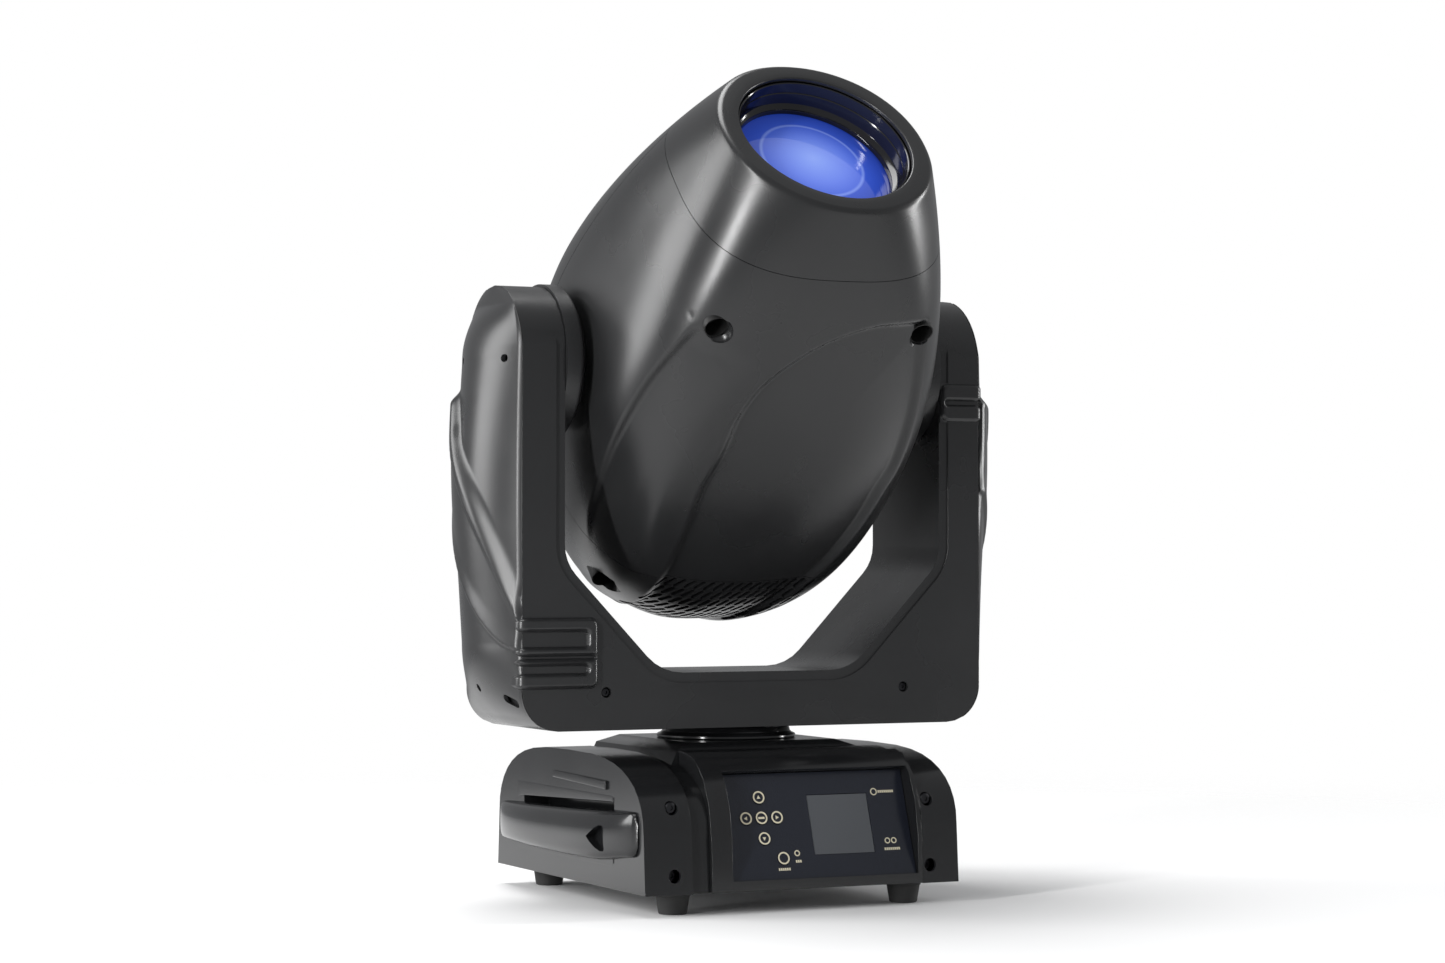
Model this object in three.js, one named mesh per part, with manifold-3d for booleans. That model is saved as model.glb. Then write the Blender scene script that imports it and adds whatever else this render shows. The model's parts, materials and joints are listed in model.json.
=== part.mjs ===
// Moving head light: a base with a menu panel, a yoke that pans on it, and a head that tilts in the yoke.
// Millimetres, +Z up, -Y is the front. Heights are measured from the floor under the feet, and the whole
// light is then lowered so that the origin is the middle of the rigging plate's underside.

import * as THREE from 'three';
import { mergeVertices } from 'three/addons/utils/BufferGeometryUtils.js';
import Module from 'manifold-3d';

const wasm = await Module();
wasm.setup();

// ---- Driving dimensions -------------------------------------------------------------------------------

const gap = 0.3; // clearance between neighbouring pieces
const runningGap = 0.9; // clearance around the parts of the pan axis that turn
const wall = 3; // thickness of the moulded shells
const originHeight = 13; // underside of the rigging plate above the floor
const round = 20; // sides of an ordinary round piece

// Base
const baseCentreY = 8; // the base reaches a little further back than forward of the pan axis
const baseHalfWidth = 135;
const baseHalfDepth = 150;
const baseBottom = 17;
const capInner = 95; // where the end caps meet the middle housing
const archSpring = 62; // height where the walls start to arch over
const archTop = 119.5;
const housingInset = 4; // how far the middle housing lies inside the caps' arch
const deckTop = 127; // flat deck under the pan collar
const footX = 100;
const footY = 123;

// Front fascia and menu panel
const fasciaLeft = -79;
const fasciaRight = 103;
const panelCentre = new THREE.Vector3(19, -133, 64.5);
const panelLean = THREE.MathUtils.degToRad(19);
const panelWidth = 160;
const panelHeight = 84;
const panelThickness = 3;
const keyRadius = 5;
const keyTravel = 0.8;
const padX = -47.5; // middle of the arrow pad on the panel
const padZ = 6.5;
const padPitchX = 13.3;
const padPitchZ = 16.3;

// Carry handles and the finger pockets behind them
const handleBulge = 16;
const handleHalfLength = 138;
const handleBottom = 40;
const handleTop = 76;
const pocketHalfLength = 92;
const pocketDepth = 22;
const pocketBottom = 37;
const pocketTop = 88;

// Rear connector niche
const nicheHalfWidth = 80;
const nicheBottom = 24;
const nicheTop = 97;
const rearPlateY = 120;
const socketRadius = 12;

// Pan axis, from the outside in: collar, bearing, yoke hub, fixed tube
const collarRadius = 56;
const panBearingRadius = 45.7;
const panHubRadius = 33;
const panTubeRadius = 27;
const panCableRadius = 18;
const pulleyRadius = 34;
const pinionRadius = 6.8; // a fifth of the large pulleys, so the drives reduce by five
const beltWidth = 8;
const beltThickness = 1.5;
const panBeltZ = 150;
const panMotorX = 122;

// Yoke
const tiltAxisZ = 425;
const yokeHalfDepth = 59;
const yokeBottom = 137.5;
const armHalfWidth = 201; // edge between the frame's flat front and the outer cover
const armTopRadius = 60;
const frameCorner = 30;
const windowHalfWidth = 165;
const windowShoulderZ = 268;
const windowFloorHalfWidth = 83;
const windowFloorZ = 181.4;
const windowShoulderRadius = 34;
const windowFloorRadius = 42;
const coverCrown = 57; // how far a cover stands out beyond coverRootX at its middle
const coverRootX = 165;
const coverBow = 6;
const hubRingRadius = 62;
const tiltShaftRadius = 20;
const tiltBearingRadius = 31;
const tiltMotorZ = 300;
const tiltBeltX = 200;

// Head, in its own frame: the tilt axis is X, the lens looks along +Z, the front cover faces -Y
const headTilt = THREE.MathUtils.degToRad(46.7);
const headRear = -204;
const headFront = 244.3;
const headHalfWidth = 141.5;
const headWidestZ = 21.8;
const headFrontDepth = 147.7;
const headFrontDeepestZ = -81;
const headBackDepth = 130.4;
const headBackDeepestZ = -66;
const headRingRadius = 85.3;
const headBoreRadius = 70;
const headSeamZ = 188.8; // joint between the front cap and the body
const headVentZ = -98.7; // joint between the body and the vented rear cowl
const headBackSeamY = 62; // joint between the body and the back cover
const headSides = 32;
const lensZ = 207; // well behind the front ring

const black = { color: 0x18191b, roughness: 0.35, metalness: 0 };
const blackGloss = { color: 0x141517, roughness: 0.2, metalness: 0 };
const rubber = { color: 0x0c0c0d, roughness: 0.85, metalness: 0 };
const steel = { color: 0x8d9095, roughness: 0.4, metalness: 1 };
const aluminium = { color: 0xb4b7ba, roughness: 0.45, metalness: 1 };
const motorBlack = { color: 0x222326, roughness: 0.5, metalness: 0.4 };
const panelInk = { color: 0x2b2f3a, roughness: 0.25, metalness: 0 };
const legend = { color: 0xd8d3b8, roughness: 0.4, metalness: 0 };
const screenGrey = { color: 0x6a6f76, roughness: 0.1, metalness: 0 };
const lensBlue = { color: 0x2a4fd0, roughness: 0.05, metalness: 0 };

// ---- Helpers ------------------------------------------------------------------------------------------

const light = new THREE.Group();
light.position.z = -originHeight;

function addPiece(parent, name, shape, finish) {
  const geometry = shape.isBufferGeometry ? shape : geometryOf(shape);
  const mesh = new THREE.Mesh(geometry, new THREE.MeshStandardMaterial({ ...finish, flatShading: true }));
  mesh.name = name;
  parent.add(mesh);
  return mesh;
}

function solidOf(geometry) {
  const bare = geometry.clone();
  bare.deleteAttribute('normal');
  bare.deleteAttribute('uv');
  const merged = mergeVertices(bare, 1e-3);
  const corners = merged.index.array;
  const kept = [];
  for (let i = 0; i < corners.length; i += 3) {
    const [a, b, c] = corners.subarray(i, i + 3);
    if (a !== b && b !== c && c !== a) kept.push(a, b, c);
  }
  return new wasm.Manifold(new wasm.Mesh({
    numProp: 3,
    vertProperties: merged.attributes.position.array,
    triVerts: new Uint32Array(kept),
  }));
}

function geometryOf(solid) {
  const mesh = solid.getMesh();
  const geometry = new THREE.BufferGeometry();
  geometry.setAttribute('position', new THREE.BufferAttribute(mesh.vertProperties, 3));
  geometry.setIndex(new THREE.BufferAttribute(mesh.triVerts, 1));
  return geometry;
}

function join(first, ...others) {
  return others.reduce((sum, other) => sum.add(other), first);
}

function cut(first, ...others) {
  return others.reduce((rest, other) => rest.subtract(other), first);
}

// A box between two corners.
function block(x0, x1, y0, y1, z0, z1) {
  const geometry = new THREE.BoxGeometry(x1 - x0, y1 - y0, z1 - z0);
  geometry.translate((x0 + x1) / 2, (y0 + y1) / 2, (z0 + z1) / 2);
  return solidOf(geometry);
}

// Turns a shape made along Z so that its length runs along the named axis.
function along(axis, geometry) {
  const [x, y, z] = [new THREE.Vector3(1, 0, 0), new THREE.Vector3(0, 1, 0), new THREE.Vector3(0, 0, 1)];
  const turn = new THREE.Matrix4();
  if (axis === 'x') turn.makeBasis(y, z, x);
  if (axis === 'y') turn.makeBasis(z, x, y);
  return geometry.applyMatrix4(turn);
}

// A round bar (or cone) from one height to another along an axis, centred on the other two coordinates.
function bar(axis, from, to, radius, centre = [0, 0], endRadius = radius, sides = round) {
  const geometry = new THREE.CylinderGeometry(endRadius, radius, to - from, sides);
  geometry.rotateX(Math.PI / 2);
  geometry.translate(centre[0], centre[1], (from + to) / 2);
  return solidOf(along(axis, geometry));
}

function tube(axis, from, to, outer, inner, centre = [0, 0], sides = round) {
  const whole = bar(axis, from, to, outer, centre, outer, sides);
  return cut(whole, bar(axis, from - 1, to + 1, inner, centre, inner, sides));
}

// A flat outline pulled along an axis: (y, z) points along x, (x, z) points along y, (x, y) points along z.
function prism(axis, from, to, points) {
  const flipped = axis === 'y' ? points.map(([x, z]) => [z, x]) : points;
  const shape = new THREE.Shape(flipped.map(([a, b]) => new THREE.Vector2(a, b)));
  const geometry = new THREE.ExtrudeGeometry(shape, { depth: to - from, bevelEnabled: false });
  geometry.translate(0, 0, from);
  return solidOf(along(axis, geometry));
}

// A closed skin over rings of equal count, each counter-clockwise as seen from the last ring's side.
function loft(rings) {
  const count = rings[0].length;
  const points = rings.flat();
  const faces = [];
  for (let i = 0; i + 1 < rings.length; i++) {
    for (let j = 0; j < count; j++) {
      const next = (j + 1) % count;
      const [a, b] = [i * count + j, i * count + next];
      faces.push(a, b, b + count, a, b + count, a + count);
    }
  }
  const middle = (ring) => ring.reduce((sum, p) => sum.add(p), new THREE.Vector3()).divideScalar(count);
  const [first, last] = [points.length, points.length + 1];
  points.push(middle(rings[0]), middle(rings.at(-1)));
  const top = (rings.length - 1) * count;
  for (let j = 0; j < count; j++) {
    const next = (j + 1) % count;
    faces.push(first, next, j, last, top + j, top + next);
  }
  const geometry = new THREE.BufferGeometry().setFromPoints(points);
  geometry.setIndex(faces);
  return solidOf(geometry);
}

function steps(from, to, count) {
  return Array.from({ length: count + 1 }, (_, i) => from + ((to - from) * i) / count);
}

// A toothed belt's loop around a large pulley at the origin and a pinion at the given distance along +X.
function beltLoop(distance, clearance) {
  const [large, small] = [pulleyRadius + clearance, pinionRadius + clearance];
  const lean = Math.acos((large - small) / distance);
  const arc = (x, radius, from, to, sides) =>
    steps(from, to, sides).map((angle) => [x + radius * Math.cos(angle), radius * Math.sin(angle)]);
  return [...arc(0, large, lean, 2 * Math.PI - lean, 24), ...arc(distance, small, -lean, lean, 10)];
}

function belt(distance, from, to) {
  return cut(
    prism('z', from, to, beltLoop(distance, gap + beltThickness)),
    prism('z', from - 1, to + 1, beltLoop(distance, gap)),
  );
}

// A toothed pulley with two flanges, on the Z axis.
function pulley(radius, bore, from, to) {
  const flange = 1;
  const disc = (a, b, size) => bar('z', a, b, size, [0, 0], size, 14);
  return cut(
    join(
      disc(from, to, radius),
      disc(from - flange, from, radius + 1.2),
      disc(to, to + flange, radius + 1.2),
    ),
    disc(from - 5, to + 5, bore),
  );
}

// ---- Base ---------------------------------------------------------------------------------------------

const baseGroup = new THREE.Group();
baseGroup.position.y = baseCentreY;
light.add(baseGroup);

// Side outline of the base: near-vertical walls that arch over to a flat top.
function archOutline(inset, bottom) {
  const halfDepth = baseHalfDepth - 3 - inset;
  const rise = archTop - inset - archSpring;
  const arch = steps(0, Math.PI, 20).map((angle) => {
    const [c, s] = [Math.cos(angle), Math.sin(angle)];
    const y = -Math.sign(c) * halfDepth * Math.abs(c) ** (2 / 3.3);
    return [y, archSpring + rise * Math.abs(s) ** (2 / 2.2)];
  });
  const foot = baseHalfDepth - inset;
  return [[foot, bottom], [-foot, bottom], ...arch].reverse();
}

function archSolid(from, to, inset, bottom = baseBottom) {
  return prism('x', from, to, archOutline(inset, bottom));
}

function endCap() {
  const shell = cut(
    archSolid(capInner + gap / 2, baseHalfWidth, 0),
    archSolid(capInner - 1, baseHalfWidth - wall, wall, baseBottom - 1),
  );
  const pocket = (grow) => block(
    baseHalfWidth - pocketDepth - grow, baseHalfWidth + 1,
    -pocketHalfLength - grow, pocketHalfLength + grow,
    pocketBottom - grow, pocketTop + grow,
  );
  const pocketWalls = pocket(wall).intersect(archSolid(capInner + gap, baseHalfWidth - 1, 0));
  return cut(join(shell, pocketWalls), pocket(0));
}

function handle() {
  const outline = steps(-1, 1, 16).map((t) => [
    baseHalfWidth + gap + handleBulge * (1 - Math.abs(t) ** 2.6) ** 0.6,
    t * handleHalfLength,
  ]);
  return prism('z', handleBottom, handleTop, outline);
}

// The right cap makes room for the fascia, which laps over its inner edge.
const panelSpace = (grow) => prism('x', fasciaLeft - grow, fasciaRight + grow, [
  [-170, baseBottom - 1], [-133 + grow, baseBottom - 1], [-105 + grow, 104 + grow],
  [-105 + grow, 140], [-170, 140],
]);

addPiece(baseGroup, 'end_cap_right', cut(endCap(), panelSpace(gap)), black);
addPiece(baseGroup, 'end_cap_left', endCap().mirror([1, 0, 0]), black);
addPiece(baseGroup, 'handle_right', handle(), black);
addPiece(baseGroup, 'handle_left', handle().mirror([1, 0, 0]), black);

function housing() {
  const edge = capInner - gap / 2;
  const niche = (grow) => block(
    -nicheHalfWidth - grow, nicheHalfWidth + grow,
    rearPlateY - grow, 170,
    nicheBottom - grow, nicheTop + grow,
  );
  const arch = archSolid(-edge, edge, housingInset);
  const shell = cut(arch, archSolid(-edge - 1, edge + 1, housingInset + wall, baseBottom - 1));
  const deck = (inset) => loft([[88, 80, 104], [80, 79, 121], [64, 68, deckTop]].map(([x, y, z]) => {
    const corner = (sideX, sideY) => new THREE.Vector3(
      sideX * (x - inset), sideY * (y - inset) - baseCentreY, z - inset,
    );
    return [corner(-1, -1), corner(1, -1), corner(1, 1), corner(-1, 1)];
  }));
  const panCentre = [0, -baseCentreY];
  const bearingSeat = bar('z', 110, deckTop, panBearingRadius + 5, panCentre);
  return cut(
    join(cut(join(shell, deck(0)), deck(wall)), niche(wall).intersect(arch), bearingSeat),
    niche(0),
    block(
      -nicheHalfWidth + 4, nicheHalfWidth - 4,
      rearPlateY - 5, rearPlateY + 1,
      nicheBottom + 4, nicheTop - 4,
    ),
    bar('z', 100, deckTop + 1, panBearingRadius + gap, panCentre),
    panelSpace(gap),
  );
}

addPiece(baseGroup, 'base_housing', housing(), black);

function fascia() {
  const hood = prism('x', fasciaLeft, fasciaRight, [
    [-130, baseBottom + gap], [-150, baseBottom + gap], [-148.5, 55], [-143.5, 82], [-133, 103],
    [-117, 117], [-100, 121], [-88.5, 122], [-88.5, 100],
  ].reverse());
  const behind = cut(archSolid(fasciaLeft - 5, fasciaRight + 5, housingInset - gap), panelSpace(0));
  const [low, high] = [panelHeight / 2 + 0.5, panelHeight / 2 - 4];
  const recess = panelPlace(block(-80.5, 80.5, -60, panelThickness + gap, -low, low));
  const opening = panelPlace(block(-76, 76, -60, 60, -high, high));
  const overHousing = block(fasciaLeft, capInner - gap, -200, 0, 0, 200);
  return cut(hood.intersect(join(panelSpace(0), overHousing)), behind, recess, opening);
}

// Moves a solid from the panel's own frame (front face at y = 0, facing -Y) to its place on the base.
function panelPlace(solid) {
  return solid.rotate([THREE.MathUtils.radToDeg(-panelLean), 0, 0]).translate(panelCentre.toArray());
}

addPiece(baseGroup, 'front_fascia', fascia(), blackGloss);

const panelGroup = new THREE.Group();
panelGroup.position.copy(panelCentre);
panelGroup.rotation.x = -panelLean;
baseGroup.add(panelGroup);

const keys = [
  ['key_up', padX, padZ + padPitchZ], ['key_down', padX, padZ - padPitchZ],
  ['key_left', padX - padPitchX, padZ], ['key_right', padX + padPitchX, padZ],
  ['key_menu', padX, padZ], ['key_battery', -33.6, -25.9],
];
const screen = { left: -6, right: 47, bottom: -24, top: 24 };

function panelPlate() {
  const plate = block(-panelWidth / 2, panelWidth / 2, 0, panelThickness, -panelHeight / 2, panelHeight / 2);
  const holes = keys.map(([, x, z]) => bar('y', -1, panelThickness + 1, keyRadius + gap, [z, x]));
  const window = block(screen.left, screen.right, -1, panelThickness + 1, screen.bottom, screen.top);
  return cut(plate, window, ...holes);
}

addPiece(panelGroup, 'control_panel', panelPlate(), panelInk);
addPiece(panelGroup, 'display_window', block(
  screen.left + gap, screen.right - gap, 0.4, panelThickness, screen.bottom + gap, screen.top - gap,
), screenGrey);
for (const [name, x, z] of keys) {
  const cap = join(
    bar('y', -keyTravel, panelThickness, keyRadius, [z, x]),
    bar('y', panelThickness, panelThickness + 3, 2, [z, x], undefined, 12),
  );
  addPiece(panelGroup, name, cap, legend);
}

function chassis() {
  const [x, y] = [baseHalfWidth - wall - gap, baseHalfDepth - housingInset - wall - 4];
  const top = baseBottom + 2;
  const flange = (side) => block(
    side * (x - 1) - 1, side * (x - 1) + 1, -100, 100, baseBottom, baseBottom + 12,
  );
  return join(block(-x, x, -y, y, baseBottom, top), flange(1), flange(-1));
}

addPiece(baseGroup, 'base_chassis', cut(chassis(), panelSpace(gap)), steel);

for (const [name, sideX, sideY] of [
  ['foot_front_left', -1, -1], ['foot_front_right', 1, -1],
  ['foot_rear_left', -1, 1], ['foot_rear_right', 1, 1],
]) {
  addPiece(baseGroup, name, bar('z', 0, baseBottom - gap, 11, [sideX * footX, sideY * footY], 14), rubber);
}

// Rear connectors: a power inlet, data in and out, and a network socket, each a flanged round shell.
const connectors = [
  ['power_inlet', 56, 62], ['data_in', 18, 62], ['data_out', -20, 62], ['network_socket', -56, 62],
];

function connector(x, z) {
  const flangeFront = rearPlateY + wall + gap + 2;
  return cut(
    join(
      bar('y', rearPlateY - 16, flangeFront, socketRadius, [z, x]),
      block(x - 13, x + 13, rearPlateY + wall + gap, flangeFront, z - 15.5, z + 15.5),
    ),
    bar('y', rearPlateY - 10, flangeFront + 1, 9.5, [z, x]),
  );
}

const rearPlate = block(
  -nicheHalfWidth + gap, nicheHalfWidth - gap, rearPlateY + gap, rearPlateY + wall,
  nicheBottom + gap, nicheTop - gap,
);
addPiece(baseGroup, 'rear_panel', cut(rearPlate, ...connectors.map(([, x, z]) =>
  bar('y', rearPlateY - 5, rearPlateY + 10, socketRadius + gap, [z, x]))), steel);
for (const [name, x, z] of connectors) {
  addPiece(baseGroup, name, connector(x, z), motorBlack);
}

addPiece(baseGroup, 'power_supply', block(-110, -60, -90, 60, baseBottom + 3, 72), aluminium);

// ---- Pan axis -----------------------------------------------------------------------------------------

const riggingHalf = 60;
const riggingPlate = cut(
  block(-riggingHalf, riggingHalf, -riggingHalf, riggingHalf, originHeight, baseBottom - gap),
  bar('z', 0, 30, 9, [-42, 0]), bar('z', 0, 30, 9, [42, 0]),
);
addPiece(light, 'rigging_plate', riggingPlate, steel);

addPiece(light, 'pan_collar', cut(
  bar('z', deckTop + gap, yokeBottom - 0.6, collarRadius, [0, 0], 50, 40),
  bar('z', deckTop - 1, yokeBottom + 1, panHubRadius + 1, [0, 0]),
), black);
addPiece(light, 'pan_bearing', tube('z', 112, deckTop - gap, panBearingRadius, panHubRadius + runningGap), steel);

const beltHalf = beltWidth / 2;
addPiece(light, 'pan_fixed_pulley', cut(
  join(
    bar('z', 104, panBeltZ + beltHalf + 4, panTubeRadius),
    bar('z', 105, 109.7, panBearingRadius + 3),
    bar('z', panBeltZ - beltHalf, panBeltZ + beltHalf, pulleyRadius),
  ),
  bar('z', 100, 170, panCableRadius),
), aluminium);

// ---- Yoke ---------------------------------------------------------------------------------------------

const yoke = new THREE.Group();
light.add(yoke);

// Half outline of the yoke seen from the front, from the middle of its underside up the outside of an arm.
function armOutline(inset) {
  const x = armHalfWidth - inset;
  const bottom = yokeBottom + inset;
  const radius = frameCorner - inset;
  const turn = steps(0, Math.PI / 2, 6).map((angle) => [
    x - radius + radius * Math.sin(angle), bottom + radius - radius * Math.cos(angle),
  ]);
  return [...turn, [x, tiltAxisZ + armTopRadius + 5]];
}

// The points of an arc that rounds the corner between two straight lines.
function roundedCorner(before, corner, after, radius) {
  const [first, second] = [before, after].map(([x, z]) => Math.atan2(z - corner[1], x - corner[0]));
  const opening = Math.acos(Math.cos(first - second)) / 2;
  const away = radius / Math.sin(opening);
  const middle = Math.atan2(Math.sin(first) + Math.sin(second), Math.cos(first) + Math.cos(second));
  const [x, z] = [corner[0] + away * Math.cos(middle), corner[1] + away * Math.sin(middle)];
  const sweep = Math.PI / 2 - opening;
  const way = Math.sign(Math.sin(first - second));
  return steps(-sweep, sweep, 4).map((angle) => [
    x - radius * Math.cos(middle + way * angle), z - radius * Math.sin(middle + way * angle),
  ]);
}

// Half outline of the window between the arms, from the top down to the middle of its floor.
function windowOutline(inset) {
  const slope = inset * 0.36;
  const top = [windowHalfWidth + inset, tiltAxisZ + armTopRadius + 5];
  const shoulder = [windowHalfWidth + inset, windowShoulderZ - slope];
  const floor = [windowFloorHalfWidth + slope, windowFloorZ - inset];
  return [
    top,
    ...roundedCorner(top, shoulder, floor, windowShoulderRadius + inset),
    ...roundedCorner(shoulder, floor, [0, floor[1]], windowFloorRadius + inset),
  ];
}

function mirrored(half) {
  return [...half, ...half.toReversed().map(([x, z]) => [-x, z])];
}

// Side outline of an arm: straight sides with a round top about the tilt axis.
function armSide(inset) {
  const radius = armTopRadius - inset;
  const half = Math.min(yokeHalfDepth - inset, radius);
  const start = Math.acos(half / radius);
  const top = steps(start, Math.PI - start, 12).map((angle) => [
    radius * Math.cos(angle), tiltAxisZ + radius * Math.sin(angle),
  ]);
  return [[-half, yokeBottom - 20], [half, yokeBottom - 20], ...top];
}

function bothSides(make) {
  return join(make(1), make(-1));
}

function tiltBar(side, from, to, radius) {
  const [a, b] = side > 0 ? [from, to] : [-to, -from];
  return bar('x', a, b, radius, [0, tiltAxisZ]);
}

function yokeFrame() {
  const outside = prism('y', -100, 100, mirrored(armOutline(0)));
  const window = prism('y', -100, 100, mirrored(windowOutline(0)));
  const body = cut(outside, window).intersect(prism('x', -300, 300, armSide(0)));
  const cavity = cut(
    join(prism('y', -100, 100, mirrored(armOutline(wall))), block(170, 260, -100, 100, 180, 500),
      block(-260, -170, -100, 100, 180, 500)),
    prism('y', -100, 100, mirrored(windowOutline(wall))),
  ).intersect(prism('x', -300, 300, armSide(wall)));
  const room = cut(cavity, block(-250, 250, -100, 100, 0, yokeBottom + wall));
  const panHub = bar('z', 113, yokeBottom + wall, panHubRadius);
  const [wallIn, seatOut] = [windowHalfWidth, windowHalfWidth + 15];
  const seats = bothSides((side) => tiltBar(side, wallIn, seatOut, tiltBearingRadius + 4));
  const bores = bothSides((side) => tiltBar(side, wallIn + wall, 200, tiltBearingRadius + gap));
  const shaftHoles = bothSides((side) => tiltBar(side, 150, 200, tiltShaftRadius + 2));
  const panBore = bar('z', 100, 160, panTubeRadius + runningGap);
  return cut(join(cut(body, room), panHub, seats), bores, shaftHoles, panBore);
}

addPiece(yoke, 'yoke_frame', yokeFrame(), black);

// Outer cover of an arm: D-shaped sections that bow out from the frame's edge and close at top and bottom.
function coverRing(z, inset, reach) {
  const below = Math.max(0, (205 - z) / 68);
  const above = Math.max(0, (z - tiltAxisZ) / (armTopRadius + 0.5));
  const closing = Math.sqrt(Math.max(0, 1 - (below + above) ** 2));
  const middleRise = below + above > 0 ? 0 : Math.sin((Math.PI * (z - 205)) / (tiltAxisZ - 205));
  const crown = coverRootX + coverCrown * closing + coverBow * middleRise - inset;
  const drop = Math.max(0, yokeBottom + frameCorner - z);
  const edge = armHalfWidth - frameCorner + Math.sqrt(frameCorner ** 2 - drop ** 2);
  const seam = z < yokeBottom + frameCorner + 5 ? 4 * gap : gap;
  const topHalf = Math.sqrt(Math.max(1, armTopRadius ** 2 - Math.max(0, z - tiltAxisZ) ** 2));
  const halfDepth = Math.max(Math.min(yokeHalfDepth, topHalf) - inset, 1);
  const bulge = Math.max(crown - edge, 2);
  const outer = steps(-1, 1, 8).map((t) => (
    new THREE.Vector3(edge + seam + bulge * (1 - t * t), t * halfDepth, z)
  ));
  const root = edge + seam - reach;
  return [
    new THREE.Vector3(root, -halfDepth, z), ...outer, new THREE.Vector3(root, halfDepth, z),
  ];
}

function armCover() {
  const top = tiltAxisZ + armTopRadius;
  const heights = [146, 150, 156, 167, 185, 205, 260, 315, 370, ...steps(tiltAxisZ, top - 8, 5), top - 3];
  const outside = loft(heights.map((z) => coverRing(z, 0, -0.01)));
  const inside = loft(heights.slice(1, -1).map((z) => coverRing(z, wall, 12)));
  return cut(outside, inside);
}

addPiece(yoke, 'arm_cover_right', armCover(), black);
addPiece(yoke, 'arm_cover_left', armCover().mirror([1, 0, 0]), black);

function hubRing(side) {
  const [inner, outer] = [146, windowHalfWidth - gap];
  const face = 3;
  const cone = side > 0
    ? bar('x', inner, inner + face, hubRingRadius - face, [0, tiltAxisZ], hubRingRadius, 36)
    : bar('x', -inner - face, -inner, hubRingRadius, [0, tiltAxisZ], hubRingRadius - face, 36);
  const [a, b] = side > 0 ? [inner + face, outer] : [-outer, -inner - face];
  const rim = bar('x', a, b, hubRingRadius, [0, tiltAxisZ], hubRingRadius, 36);
  return cut(join(cone, rim), tiltBar(side, 140, 170, tiltShaftRadius + gap));
}

for (const [name, side] of [['left', -1], ['right', 1]]) {
  addPiece(yoke, `hub_ring_${name}`, hubRing(side), black);
  const bearing = cut(
    tiltBar(side, windowHalfWidth + wall + gap, windowHalfWidth + wall + 12, tiltBearingRadius),
    tiltBar(side, 160, 190, tiltShaftRadius + gap),
  );
  addPiece(yoke, `tilt_bearing_${name}`, bearing, steel);
}

// Pan drive in the crossbar: the motor's pinion rolls its belt around the pulley that is fixed to the base.
const motorHalf = 21;
const panMotor = join(
  block(panMotorX - motorHalf, panMotorX + motorHalf, -motorHalf, motorHalf, panBeltZ + 9, panBeltZ + 35),
  bar('z', panBeltZ + 8, panBeltZ + 9, 11, [panMotorX, 0]),
);
addPiece(yoke, 'pan_motor', panMotor, motorBlack);
addPiece(yoke, 'pan_belt', belt(panMotorX, panBeltZ - beltHalf, panBeltZ + beltHalf), rubber);
const panPinion = pulley(pinionRadius, 2.5, panBeltZ - beltHalf - gap, panBeltZ + beltHalf + gap);
addPiece(yoke, 'pan_pinion', panPinion, aluminium).position.x = panMotorX;

// Tilt drive in the left arm: the same parts on an upright belt, turned so that the belt runs down from the
// tilt axis to the motor.
const tiltDrive = new THREE.Group();
tiltDrive.position.set(-tiltBeltX, 0, tiltAxisZ);
tiltDrive.rotation.y = Math.PI / 2;
yoke.add(tiltDrive);
const tiltReach = tiltAxisZ - tiltMotorZ;
addPiece(tiltDrive, 'tilt_belt', belt(tiltReach, -beltHalf, beltHalf), rubber);
addPiece(tiltDrive, 'tilt_pinion', pulley(pinionRadius, 2.5, -beltHalf - gap, beltHalf + gap), aluminium)
  .position.x = tiltReach;
const tiltMotor = join(
  block(tiltReach - motorHalf, tiltReach + motorHalf, -motorHalf, motorHalf, beltHalf + 4, beltHalf + 26),
  bar('z', beltHalf + 3, beltHalf + 4, 11, [tiltReach, 0]),
);
addPiece(tiltDrive, 'tilt_motor', tiltMotor, motorBlack);

// ---- Head ---------------------------------------------------------------------------------------------

const head = new THREE.Group();
head.position.z = tiltAxisZ;
head.rotation.x = headTilt;
light.add(head);

// Half-size of the head at a height: it narrows to the lens ring at the front and rounds off at the rear.
function headSpan(z, widest, widestZ) {
  if (z >= widestZ) {
    return widest - (widest - headRingRadius) * ((z - widestZ) / (headFront - widestZ)) ** 1.74;
  }
  const rearward = (widestZ - z) / (widestZ - headRear);
  return widest * (0.41 + 0.59 * Math.sqrt(Math.max(0, 1 - rearward ** 2.2)));
}

// A section of the head: a circle at the lens ring that becomes a rounded square around the tilt axis.
function headRing(z, inset) {
  const squareness = 2 + 1.68 * Math.max(0, 1 - ((z - headWidestZ) / 228) ** 2);
  const power = 2 / squareness;
  const halfWidth = headSpan(z, headHalfWidth, headWidestZ) - inset;
  const front = headSpan(z, headFrontDepth, headFrontDeepestZ) - inset;
  const back = headSpan(z, headBackDepth, headBackDeepestZ) - inset;
  return steps(0, 2 * Math.PI, headSides).slice(0, -1).map((angle) => {
    const [c, s] = [Math.cos(angle), Math.sin(angle)];
    const depth = s < 0 ? front : back;
    return new THREE.Vector3(
      halfWidth * Math.sign(c) * Math.abs(c) ** power, depth * Math.sign(s) * Math.abs(s) ** power, z,
    );
  });
}

const headHeights = [
  headRear, -199, -188, -168, -138, headVentZ, -50, 0, 50, 95, 142, headSeamZ, 216, headFront,
];
const headOutside = loft(headHeights.map((z) => headRing(z, 0)));
const headInside = loft(headHeights.map((z, i) => {
  const ends = i === 0 ? wall : i === headHeights.length - 1 ? -wall : 0;
  return headRing(z, wall).map((p) => p.setZ(z + ends));
}));
const headShell = cut(headOutside, headInside);
const slab = (z0, z1) => block(-300, 300, -300, 300, z0, z1);

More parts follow.
